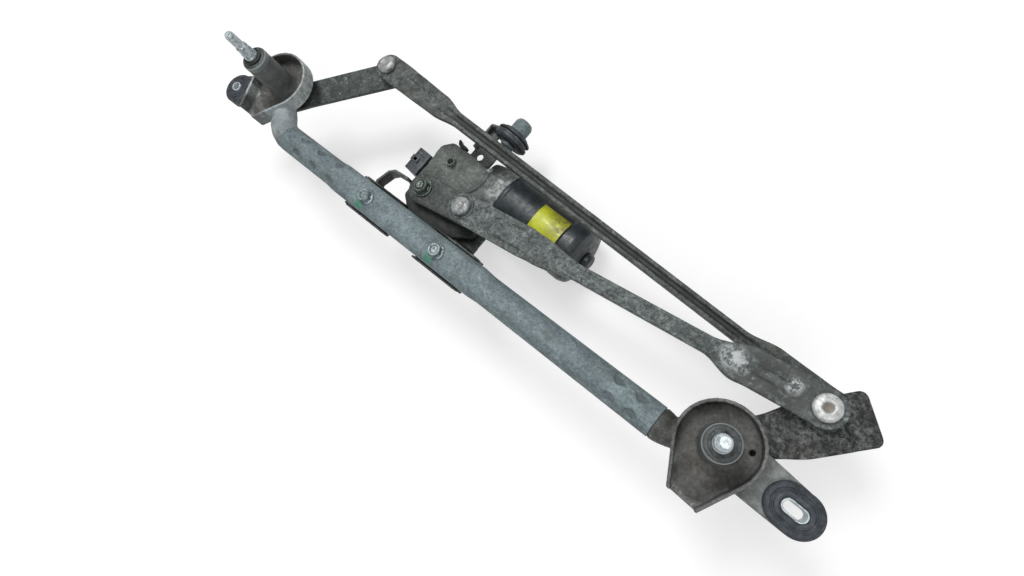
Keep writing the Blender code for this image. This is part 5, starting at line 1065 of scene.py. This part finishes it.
def socket_profile(centre_z, cap, sign=1):
    """A ball socket: a domed cap with a shallow dimple, a waist in the sheet, and a skirt below."""
    peak = 0.0074
    cavity = 0.0061
    points = [
        (0, peak - 0.0007), (0.0030, peak - 0.0007), (0.0042, peak), (cap * 0.62, peak - 0.0002), (cap * 0.9, 0.0062),
        (cap, 0.0048), (cap, 0.0027), (cap * 0.96, 0.0016), (0.0073, 0.0016), (0.0073, -0.0016), (0.0086, -0.0016),
        (0.0086, -0.0030), (0.0053, -0.0030)]
    points += [(cavity * math.cos(math.radians(a)), cavity * math.sin(math.radians(a))) for a in (-15, 10, 35, 60)]
    points.append((0, cavity))
    profile = [(radius, centre_z + sign * z) for radius, z in points]
    return profile if sign > 0 else profile[::-1]


def make_sockets():
    for name, at, z, cap, sign, looks in (
            ("drive_link_crank_socket", CRANK_BALL, CRANK_BALL_Z, 0.0085, 1, "bare cap"),
            ("drive_link_rocker_socket", DRIVE_BALL, ROCKER_BALL_Z, 0.0095, 1, "worn cap"),
            ("long_link_left_socket", LONG_BALL_LEFT, ROCKER_BALL_Z, 0.0085, 1, "pale cap"),
            ("long_link_right_socket", LONG_BALL_RIGHT, UNDER_BALL_Z, 0.0085, -1, "pale cap")):
        mesh = turned(name + "_cap", socket_profile(z, cap, sign), at=(at.x, at.y, 0), round_by=0.0007)
        keep(name + "_cap", mesh, [name], CAPS[looks](at))


def ball_stud(base_z, rise, foot):
    centre = base_z - GAP + rise
    ball = [(0.0055 * math.cos(math.radians(a)), centre + 0.0055 * math.sin(math.radians(a)))
            for a in range(80, -54, -10)]
    neck = [(0.0032, base_z + 0.0034), (0.0032, base_z + 0.0016), (0.0062, base_z + 0.0016), (0.0062, base_z)]
    return [(0, centre + 0.0055)] + ball + neck + foot


def make_studs():
    """Four ball studs, their riveted feet under the levers."""
    low = LEVER_TOP - LEVER_SHEET - GAP
    rivet = [(0.0032, LEVER_TOP + GAP), (0.0032, low), (0.0056, low), (0.0048, low - 0.0016), (0, low - 0.0016)]
    under = LEVER_TOP - LEVER_SHEET - 0.005
    hung = ball_stud(under + GAP, 0.011, [(0, under + GAP)])
    hung = [(radius, 2 * under - z) for radius, z in reversed(hung)]
    crank = ball_stud(CRANK_TOP + GAP, 0.010, [(0, CRANK_TOP + GAP)])
    for name, at, profile in (
            ("drive_ball_stud", DRIVE_BALL, ball_stud(LEVER_TOP + GAP, 0.011, rivet)),
            ("left_ball_stud", LONG_BALL_LEFT, ball_stud(LEVER_TOP + GAP, 0.011, rivet)),
            ("long_link_right_stud", LONG_BALL_RIGHT, hung),
            ("crank_ball_stud", CRANK_BALL, crank)):
        keep(name + "_turned", turned(name + "_turned", profile, steps=48, at=(at.x, at.y, 0)), [name])


# Pivot housings with their rubber mounts

RIGHT_MOUNT = Vector((0.0579, -0.0013, -0.0100))
LEFT_MOUNT = LEFT_PIVOT + Vector((-0.0495, -0.0306, -0.0100))


SEAM_CORNERS = ((-0.2942, 0.0620), (-0.2936, 0.0553), (-0.2929, 0.0460), (-0.2952, 0.0385), (-0.3000, 0.0325),
                (-0.3060, 0.0290))
TAB_CORNERS = ((-0.2948, 0.0665), (-0.2942, 0.0600))


def cast_seam(name, mesh, corners, thickness, rise, ceiling):
    """A raised seam that follows a solid's upper surface under a line drawn from corner to corner."""
    bm = bmesh.new()
    bm.from_mesh(mesh)
    surface = BVHTree.FromBMesh(bm)
    bm.free()
    curve = bpy.data.curves.new(name, "CURVE")
    curve.dimensions = "3D"
    curve.bevel_depth = thickness
    curve.bevel_resolution = 3
    curve.use_fill_caps = True
    steps = 6
    plan = [Vector(first).lerp(Vector(second), index / steps)
            for first, second in zip(corners, corners[1:]) for index in range(steps)] + [Vector(corners[-1])]
    spline = curve.splines.new("POLY")
    spline.points.add(len(plan) - 1)
    for point, (x, y) in zip(spline.points, plan):
        hit = surface.ray_cast(Vector((x, y, -0.10)), Vector((0, 0, -1)))[0]
        point.co = (x, y, min(hit.z + rise, ceiling), 1)
    shape = bpy.data.objects.new(name, curve)
    bpy.context.scene.collection.objects.link(shape)
    seam = baked(shape)
    bpy.data.objects.remove(shape)
    return seam


def make_castings():
    """The castings and the bracket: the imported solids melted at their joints, as a poured body's corners are."""
    for node in ("left_pivot_housing", "right_pivot_housing"):
        mesh = cast(node + "_casting", [solid_of(node, node)], 0.00085, 5)
        place(node + "_casting", mesh, [node], HOUSING_LOOK, 60)
    housing = solid_of("gear_housing", "gear housing")
    seam = cast_seam("bell seam", housing, SEAM_CORNERS, 0.0015, 0.0012, -0.1215)
    tab = cast_seam("bell tab", housing, TAB_CORNERS, 0.0022, 0.0030, -0.1222)
    mesh = cast("gear_housing_casting", [housing, seam, tab], 0.0009, 4)
    place("gear_housing_casting", mesh, ["gear_housing"], GEAR_LOOK, 60)
    mesh = cast("bracket_pressing", [solid_of("motor_bracket", "bracket")], 0.00062, 4)
    place("bracket_pressing", mesh, ["motor_bracket"], BRACKET_LOOK, 60)


def grommet_profile(waist, flange, half_arm, reach, bore):
    """A rubber mount: a stepped top with two ring grooves, a waist for the arm, and a plain underside."""
    return [
        (bore, reach - 0.0006), (bore + 0.0012, reach), (flange - 0.0068, reach), (flange - 0.0064, reach - 0.0007),
        (flange - 0.0056, reach - 0.0007), (flange - 0.0052, reach), (flange - 0.0044, reach - 0.0002),
        (flange - 0.0040, reach - 0.0012), (flange - 0.0030, reach - 0.0014), (flange - 0.0012, reach - 0.0022),
        (flange, reach - 0.0032), (flange, half_arm), (waist, half_arm), (waist, -half_arm), (flange, -half_arm),
        (flange, -reach + 0.0020), (flange - 0.0030, -reach), (bore, -reach)]


def make_mounts():
    half_arm = 0.0025 + GAP
    reach = half_arm + 0.0048
    for side, at, stretch in (("left", LEFT_MOUNT, 0.0), ("right", RIGHT_MOUNT, 0.0043)):
        profile = grommet_profile(0.0110, 0.0154, half_arm, reach, 0.0051)
        name = side + "_mount_grommet"
        mesh = turned(name, profile, steps=96, around=True, stretch=stretch, round_by=0.0004, at=at)
        keep(name + "_rubber", mesh, [name])
        top = reach + 0.0010
        wall = [(0.0035, top - 0.0006), (0.0039, top), (0.0044, top), (0.0048, top - 0.0004), (0.0048, -top + 0.0004),
                (0.0044, -top), (0.0039, -top), (0.0035, -top + 0.0006)]
        name = side + "_mount_sleeve"
        mesh = turned(name, wall, steps=64, around=True, stretch=stretch, round_by=0.0002, at=at)
        keep(name + "_pressed", mesh, [name], SLEEVE_LOOK)


def make_spindle(side, pivot):
    """A spindle with its threaded end, its knurled cone, its ring groove and its riveted foot."""
    tip = 0.076
    thread_foot = tip - 0.0155
    groove_low = 0.040 + 2 * GAP + 0.0035
    groove_high = groove_low + 0.0012 + 2 * GAP
    head = LEVER_TOP - LEVER_SHEET - GAP
    core = 0.0038
    profile = [
        (0, tip - 0.0003), (0.0012, tip), (core - 0.0006, tip), (core, tip - 0.0008), (core, thread_foot + 0.0006),
        (0.0044, thread_foot), (0.0047, thread_foot - 0.0004), (0.0054, 0.0485), (0.0060, 0.0480), (0.0060, groove_high),
        (0.0054, groove_high), (0.0054, groove_low), (0.0060, groove_low), (0.0060, head), (0.0085, head),
        (0.0083, head - 0.0012), (0.0070, head - 0.0025), (0, head - 0.0025)]
    mesh = turned("core", profile, steps=64, round_by=0.0002)
    finish = LOOKS["bright_zinc"]
    mesh = grown(mesh, THREAD, finish, Radius=core - 0.00010, Foot=thread_foot + 0.0012, Length=0.0128, Pitch=0.00125)
    cone = (thread_foot - 0.0004) - 0.0485
    mesh = grown(mesh, KNURL, finish, Radius=0.00505, Middle=0.0485 + cone / 2, Length=cone * 0.98, Ridge=0.00052,
                 Lean=math.atan2(0.0007, cone) * -1, Count=40)
    mesh.transform(Matrix.Translation(pivot))
    keep(side + "_spindle_turned", mesh, [side + "_spindle"], finish, 45)


def make_spindle_rings(side, pivot):
    low = 0.040 - 0.003
    shelf = 0.040 + GAP
    peak = shelf + 0.0035
    seal = [(0.0063, peak - 0.0008), (0.0072, peak - 0.0002), (0.0088, peak), (0.0104, peak - 0.0004),
            (0.0116, peak - 0.0013), (0.0120, peak - 0.0024), (0.0120, low), (0.0109, low), (0.0109, shelf),
            (0.0063, shelf)]
    at = (pivot.x, pivot.y, 0)
    name = side + "_spindle_seal"
    keep(name + "_moulded", turned(name, seal, steps=96, around=True, at=at), [name], SEAL_LOOK)
    bottom = peak + GAP
    inner = 0.0054 + GAP
    outline = arc(inner + 0.0028, 110, 430, 48, at) + arc(inner, 430, 110, 40, at)
    ring = flat_plate("ring", outline, bottom + GAP, bottom + GAP + 0.0012, 0.0002)
    keep(side + "_ring_stamped", ring, [side + "_retaining_ring"], RING_LOOK)
    washer = [(0.0063, LEVER_TOP + GAP + 0.002), (0.0105, LEVER_TOP + GAP + 0.002), (0.0105, LEVER_TOP + GAP),
              (0.0063, LEVER_TOP + GAP)]
    name = side + "_thrust_washer"
    keep(name + "_moulded", turned(name, washer, around=True, at=at), [name])
    bush = [(0.0063, 0.0395), (0.0083, 0.0395), (0.0083, -0.0179), (0.0063, -0.0179)]
    name = side + "_bush"
    keep(name + "_sintered", turned(name, bush, around=True, at=at), [name])


# Screws, nuts and the crank

def hex_screw(half_flats, seat, washer, hex_low, top, shank, tip, dish=0.0010):
    """A flanged hexagon screw, head up: a dished top, chamfered corners, a flange and a shank."""
    corner = half_flats / math.cos(math.pi / 6)
    rows = [hexagon_ring(half_flats * 0.15, 1, top - dish), hexagon_ring(half_flats, half_flats * 0.58, top - dish),
            hexagon_ring(half_flats, half_flats * 0.74, top)]
    rows += [hexagon_ring(half_flats, half_flats * (0.98 + 0.05 * k), top - 0.0002 * k) for k in range(3)]
    rows += [hexagon_ring(half_flats, corner, top - 0.0008), hexagon_ring(half_flats, corner, hex_low + 0.0002)]
    rows += [round_ring(half_flats * 1.12, hex_low - 0.0001, 72), round_ring(washer - 0.0003, seat + 0.0008, 72),
             round_ring(washer, seat + 0.0005, 72), round_ring(washer, seat, 72), round_ring(shank, seat, 72),
             round_ring(shank, tip + 0.0004, 72), round_ring(shank - 0.0005, tip, 72)]
    return skin("screw", rows)


def hex_nut(half_flats, low, high, bore, foot=0.0):
    corner = half_flats / math.cos(math.pi / 6)
    rows = [round_ring(bore, low, 72), round_ring(half_flats + foot, low, 72)]
    if foot:
        rows += [round_ring(half_flats + foot, low + 0.0008, 72)]
    rows += [hexagon_ring(half_flats, corner, low + (0.0013 if foot else 0.0006)),
             hexagon_ring(half_flats, corner, high - 0.0009), hexagon_ring(half_flats, half_flats * 1.04, high - 0.0004),
             hexagon_ring(half_flats, half_flats * 0.97, high), round_ring(bore + 0.0006, high, 72),
             round_ring(bore, high - 0.0005, 72)]
    return skin("nut", rows, around=True)


def screw_tree():
    """Puts a copy of one screw on every point, each given its own turn."""
    tree, given, out = tree_with(
        "screws in place", ("Screw", "NodeSocketObject", None), ("First turn", "NodeSocketFloat", 0.4),
        ("Seed", "NodeSocketInt", 3), ("Finish", "NodeSocketMaterial", None))
    screw = tree.nodes.new("GeometryNodeObjectInfo")
    tree.links.new(given.outputs["Screw"], screw.inputs["Object"])
    random = tree.nodes.new("FunctionNodeRandomValue")
    random.inputs[2].default_value = 0.0
    random.inputs[3].default_value = 0.5
    tree.links.new(given.outputs["Seed"], random.inputs["Seed"])
    turn_by = math_node(tree, "ADD", random.outputs[1], given.outputs["First turn"])
    spin = tree.nodes.new("ShaderNodeCombineXYZ")
    tree.links.new(turn_by, spin.inputs["Z"])
    copies = tree.nodes.new("GeometryNodeInstanceOnPoints")
    tree.links.new(given.outputs["Geometry"], copies.inputs["Points"])
    tree.links.new(screw.outputs["Geometry"], copies.inputs["Instance"])
    tree.links.new(spin.outputs["Vector"], copies.inputs["Rotation"])
    finish_tree(tree, given, out, copies.outputs["Instances"])
    return tree


SCREWS = screw_tree()


def screws_at(name, mesh, points, finish, first_turn=0.4):
    points_mesh = bpy.data.meshes.new(name)
    points_mesh.from_pydata([tuple(point) for point in points], [], [])
    pattern = bpy.data.objects.new(name + " pattern", mesh)
    bpy.context.scene.collection.objects.link(pattern)
    sizes = {"Screw": pattern, "First turn": first_turn}
    result = grown(points_mesh, SCREWS, finish, **sizes)
    bpy.data.objects.remove(pattern)
    return result


MOTOR_SCREWS = (SHAFT + Vector((-0.0005, 0.0358, 0)), SHAFT + Vector((0.0310, -0.0180, 0)),
                SHAFT + Vector((0.0590, 0.0030, 0)))


def make_fasteners():
    """The bracket's two bolts and nuts, the gear housing's three screws and its cover's three."""
    seat = 0.0105 + GAP
    top = seat + 0.0012 + 0.0045
    spine_bottom = -0.0105 - GAP - 0.0028
    nut_top = spine_bottom - GAP
    way = tube_turn()
    places = [way @ Vector((-place, 0, 0)) for place in BOLT_PLACES]
    bolt = hex_screw(0.0050, seat, 0.0070, seat + 0.0012, top, 0.003, nut_top - 0.005)
    mesh = screws_at("bracket_bolts", bolt, places, BOLT_LOOK, 0.12)
    keep("bracket_bolts", mesh, ["bracket_bolt_left", "bracket_bolt_right"], BOLT_LOOK, 30)
    nut = hex_nut(0.0055, nut_top - 0.004, nut_top, 0.0033)
    mesh = screws_at("bracket_nuts", nut, places, LOOKS["bright_zinc"])
    keep("bracket_nuts", mesh, ["bracket_nut_left", "bracket_nut_right"], None, 30)
    plate_bottom = -0.059 - 0.0028
    head = hex_screw(0.0039, 0, 0.0057, 0.0008, 0.0035, 0.0025, -0.008)
    head.transform(Matrix.Rotation(math.pi, 4, "X"))
    places = [(at.x, at.y, plate_bottom - GAP) for at in MOTOR_SCREWS]
    mesh = screws_at("gear_screws", head, places, LOOKS["bright_zinc"])
    keep("gear_screws", mesh, ["motor_screw_1", "motor_screw_2", "motor_screw_3"], None, 30)
    reach = 0.0295 + 0.0035 + 0.001
    places = [SHAFT + polar(reach, degrees, -0.1006) for degrees in (-100, -20, 205)]
    small = [(0, -0.0008), (0.0010, -0.0012), (0.0014, -0.002), (0.0028, -0.002), (0.0035, -0.0012), (0.0035, 0),
             (0.0015, 0), (0.0015, 0.0180), (0, 0.0180)]
    pan = turned("pan head", small[::-1], steps=48)
    mesh = screws_at("cover_screws", pan, places, LOOKS["bright_zinc"])
    keep("cover_screws", mesh, ["cover_screw_1", "cover_screw_2", "cover_screw_3"])


def belt(first, first_radius, second, second_radius, count=40):
    """The outline round two circles and their outer tangents."""
    first = Vector(first[:2])
    second = Vector(second[:2])
    gap = second - first
    heading = math.degrees(math.atan2(gap.y, gap.x))
    lean = math.degrees(math.acos((first_radius - second_radius) / gap.length))
    return (arc(first_radius, heading + lean, heading + 360 - lean, count, first)
            + arc(second_radius, heading - lean, heading + lean, count, second))


def make_crank():
    bottom = CRANK_TOP - 0.005
    hole = arc(0.0043, 0, 354, 59, SHAFT)
    arm = flat_plate("arm", belt(SHAFT, 0.0145, CRANK_BALL, 0.0125), bottom, CRANK_TOP, 0.0009, (hole,))
    bm = bmesh.new()
    bm.from_mesh(arm)
    rivet = [(0, bottom + 0.0003), (0.0056, bottom + 0.0003), (0.0056, bottom - 0.0002), (0.0046, bottom - 0.0010),
             (0, bottom - 0.0010)]
    add_rings(bm, turn(rivet, steps=40, at=(CRANK_BALL.x, CRANK_BALL.y, 0)))
    keep("crank_forging", to_mesh(bm, "crank_forging"), ["crank_arm"], CRANK_LOOK)
    low = CRANK_TOP + GAP
    washer = [(0.0043, low + 0.0014), (0.0095, low + 0.0014), (0.0095, low), (0.0043, low)]
    at = (SHAFT.x, SHAFT.y, 0)
    keep("crank_washer_stamped", turned("washer", washer, around=True, at=at), ["crank_washer"], NUT_LOOK)
    nut_low = low + 0.0014 + GAP
    nut = hex_nut(0.0065, nut_low, nut_low + 0.0050, 0.0043, 0.0012)
    nut.transform(Matrix.Translation(SHAFT) @ Matrix.Rotation(0.3, 4, "Z"))
    keep("crank_nut_forged", nut, ["crank_nut"], NUT_LOOK, 30)
    tip = nut_low + 0.0050 + 0.001
    shaft = [(0, tip - 0.0006), (0.0016, tip - 0.0004), (0.0022, tip), (0.0031, tip), (0.0036, tip - 0.0006),
             (0.0036, bottom - GAP), (0.0060, bottom - GAP), (0.0060, -0.0702), (0, -0.0702)]
    mesh = grown(turned("shaft", shaft, steps=48, round_by=0.0002), THREAD, SHAFT_LOOK, Radius=0.0035,
                 Foot=tip - 0.0055, Length=0.0048, Pitch=0.00125)
    mesh.transform(Matrix.Translation(SHAFT))
    keep("output_shaft_turned", mesh, ["motor_output_shaft"], SHAFT_LOOK)


# Motor

def make_motor():
    """The motor can with its flange, groove band and crowned end, its bearing cap and the bare label."""
    end = CAN_LENGTH
    r = CAN_RADIUS
    can = [(0, end), (r * 0.42, end), (r * 0.46, end - 0.0006), (r * 0.60, end - 0.0008), (r * 0.80, end - 0.0026),
           (r * 0.94, end - 0.0042), (r, end - 0.0095), (r, end - 0.0198), (r - 0.0006, end - 0.0204),
           (r - 0.0006, end - 0.0226), (r, end - 0.0232), (r, 0.0046), (r + 0.0010, 0.0038), (r + 0.0010, 0), (0, 0)]
    at = (CAN_START, MOTOR_Y, MOTOR_Z)
    keep("motor_can_drawn", turned("can", can, steps=128, at=at, tilt=ALONG_X, round_by=0.0010), ["motor_can"], None, 50)
    low = end + GAP
    cap = [(0, low + 0.0058), (0.0030, low + 0.0065), (0.0056, low + 0.0063), (0.0073, low + 0.0051), (0.0078, low),
           (0, low)]
    keep("motor_cap_drawn", turned("cap", cap, at=at, tilt=ALONG_X, round_by=0.0008), ["motor_end_cap"])
    inner = r + GAP
    rings = []
    for step in range(41):
        angle = math.radians(62 + 66 * step / 40)
        ring = []
        for radius, shift in ((inner, 0), (inner + 0.0003, 0), (inner + 0.0003, 0.031), (inner, 0.031)):
            ring.append((CAN_START + 0.039 + shift, MOTOR_Y + radius * math.cos(angle),
                         MOTOR_Z + radius * math.sin(angle)))
        rings.append(ring)
    keep("motor_label_film", skin("label", rings), ["motor_label"], LABEL_LOOK, 60)


def block(bm, low, high, cut_corner=0.0):
    """A box with its upper edges cut back, as one closed piece of a mesh."""
    (x0, y0, z0), (x1, y1, z1) = low, high
    c = cut_corner
    rings = [[(x0, y0, z0), (x1, y0, z0), (x1, y1, z0), (x0, y1, z0)],
             [(x0, y0, z1 - c), (x1, y0, z1 - c), (x1, y1, z1 - c), (x0, y1, z1 - c)]]
    if c:
        rings.append([(x0 + c, y0 + c, z1), (x1 - c, y0 + c, z1), (x1 - c, y1 - c, z1), (x0 + c, y1 - c, z1)])
    add_rings(bm, rings)


def make_connector():
    """The plug socket with its ribs and key, the gear case's cover, and the clip on the deck's edge."""
    mesh = eased("motor_connector", "connector shell", 0.0005)
    bm = bmesh.new()
    bm.from_mesh(mesh)
    left = SHAFT.x - 0.0385 - 0.0065
    y = SHAFT.y + 0.0185
    top = -0.057 + LIFT
    for shift in (-0.0104, -0.0062, 0.0062, 0.0104):
        block(bm, (left + 0.0012, y + shift - 0.0006, top - 0.0004), (left + 0.0116, y + shift + 0.0006, top + 0.0006),
              0.0003)
    block(bm, (left + 0.0024, y - 0.0018, top + 0.0010), (left + 0.0070, y + 0.0018, top + 0.0018), 0.0003)
    place("connector_moulding", to_mesh(bm, "connector_moulding"), ["motor_connector"])
    place("gear_cover_moulding", eased("gear_cover", "gear cover", 0.0012), ["gear_cover"])
    place("loom_clip_moulding", eased("loom_clip", "loom clip", 0.0004), ["loom_clip"])


def make_third_mount():
    at = SHAFT + Vector((0.0320, 0.0880, -0.050))
    half = 0.0014 + GAP
    reach = half + 0.0045
    profile = grommet_profile(0.0102, 0.0172, half, reach, 0.0053)
    keep("third_grommet_rubber", turned("grommet", profile, steps=96, around=True, at=at, tilt=ALONG_Y),
         ["third_mount_grommet"])
    low = -reach - GAP
    shoulder = reach + GAP
    tip = shoulder + 0.0135
    peg = [(0, tip), (0.0052, tip), (0.0070, tip - 0.0008), (0.0082, tip - 0.0026), (0.0088, tip - 0.0042),
           (0.0088, shoulder), (0.0050, shoulder), (0.0050, low), (0.0075, low), (0.0065, low - 0.003), (0, low - 0.003)]
    keep("third_peg_moulded", turned("peg", peg, at=at, tilt=ALONG_Y, round_by=0.0005), ["third_mount_peg"], PEG_LOOK)

make_tube()
make_levers()
make_drive_link()
make_long_link()
make_sockets()
make_studs()
make_castings()
make_mounts()
for side_name, pivot_at in (("left", LEFT_PIVOT), ("right", RIGHT_PIVOT)):
    make_spindle(side_name, pivot_at)
    make_spindle_rings(side_name, pivot_at)
make_fasteners()
make_crank()
make_motor()
make_connector()
make_third_mount()

# Studio

def make_floor():
    """A pale floor under the lowest point, wide enough for every view."""
    low = CAD_BOX[0][2]
    bm = bmesh.new()
    bmesh.ops.create_grid(bm, x_segments=4, y_segments=4, size=4)
    mesh = bpy.data.meshes.new("studio floor")
    bm.to_mesh(mesh)
    bm.free()
    floor = bpy.data.objects.new("studio_floor", mesh)
    bpy.context.scene.collection.objects.link(floor)
    floor.location = (-0.25, 0.02, low - 0.0005)
    f = Finish("pale studio paper", 0.95)
    f.colour(f.ramp(f.noise(0.4, 2), (0.3, (0.50, 0.50, 0.50)), (0.7, (0.52, 0.52, 0.52))))
    floor.data.materials.append(f.material)
    white_to_camera(f)


def white_to_camera(f):
    """Lets the paper read as clean white where the camera sees it, far off too, yet keep the shadow."""
    path = f.tree.nodes.new("ShaderNodeLightPath")
    add = f.tree.nodes.new("ShaderNodeMath")
    add.operation = "MAXIMUM"
    f.link(path.outputs["Is Camera Ray"], add.inputs[0])
    f.link(path.outputs["Is Glossy Ray"], add.inputs[1])
    scale = f.tree.nodes.new("ShaderNodeMath")
    scale.operation = "MULTIPLY"
    f.link(f.ramp(f.near((0, 0, 0), 1.0, 0.5), (0, 1.0), (1, 0.535)), scale.inputs[1])
    f.link(add.outputs[0], scale.inputs[0])
    f.shader.inputs["Emission Color"].default_value = (1, 1, 1, 1)
    f.link(scale.outputs[0], f.shader.inputs["Emission Strength"])


def area_lamp(name, at, aim, size, power):
    lamp = bpy.data.lights.new(name, "AREA")
    lamp.shape = "DISK"
    lamp.size = size
    lamp.energy = power
    obj = bpy.data.objects.new(name, lamp)
    obj.location = at
    obj.rotation_euler = (Vector(aim) - Vector(at)).to_track_quat("-Z", "Y").to_euler()
    bpy.context.scene.collection.objects.link(obj)


def make_studio():
    make_floor()
    middle = (-0.25, 0.02, -0.1)
    area_lamp("key softbox", (-0.75, 0.45, 1.5), middle, 0.7, 15)
    area_lamp("fill softbox", (0.8, -0.7, 1.2), middle, 1.0, 9)
    area_lamp("top softbox", (-0.3, 0.1, 1.9), middle, 1.4, 11)
    world = bpy.data.worlds.new("studio air")
    bpy.context.scene.world = world
    world.use_nodes = True
    background = world.node_tree.nodes["Background"]
    background.inputs["Color"].default_value = (1, 1, 1, 1)
    path = world.node_tree.nodes.new("ShaderNodeLightPath")
    strength = world.node_tree.nodes.new("ShaderNodeMapRange")
    strength.inputs["To Min"].default_value = 0.20
    strength.inputs["To Max"].default_value = 1.0
    world.node_tree.links.new(path.outputs["Is Camera Ray"], strength.inputs["Value"])
    world.node_tree.links.new(strength.outputs[0], background.inputs["Strength"])
    bpy.context.scene.view_settings.view_transform = "Standard"


def make_camera():
    camera = bpy.data.cameras.new("portrait camera")
    camera.sensor_width = SENSOR_MM
    camera.lens = FOCAL_PIXELS * SENSOR_MM / PHOTO_WIDTH
    camera.clip_start = 0.01
    obj = bpy.data.objects.new("portrait_camera", camera)
    bpy.context.scene.collection.objects.link(obj)
    back = CAMERA_RIGHT.cross(CAMERA_UP)
    turn = Matrix((CAMERA_RIGHT, CAMERA_UP, back)).transposed().to_4x4()
    obj.matrix_world = Matrix.Translation(CAMERA_AT) @ turn
    bpy.context.scene.camera = obj


make_studio()
make_camera()
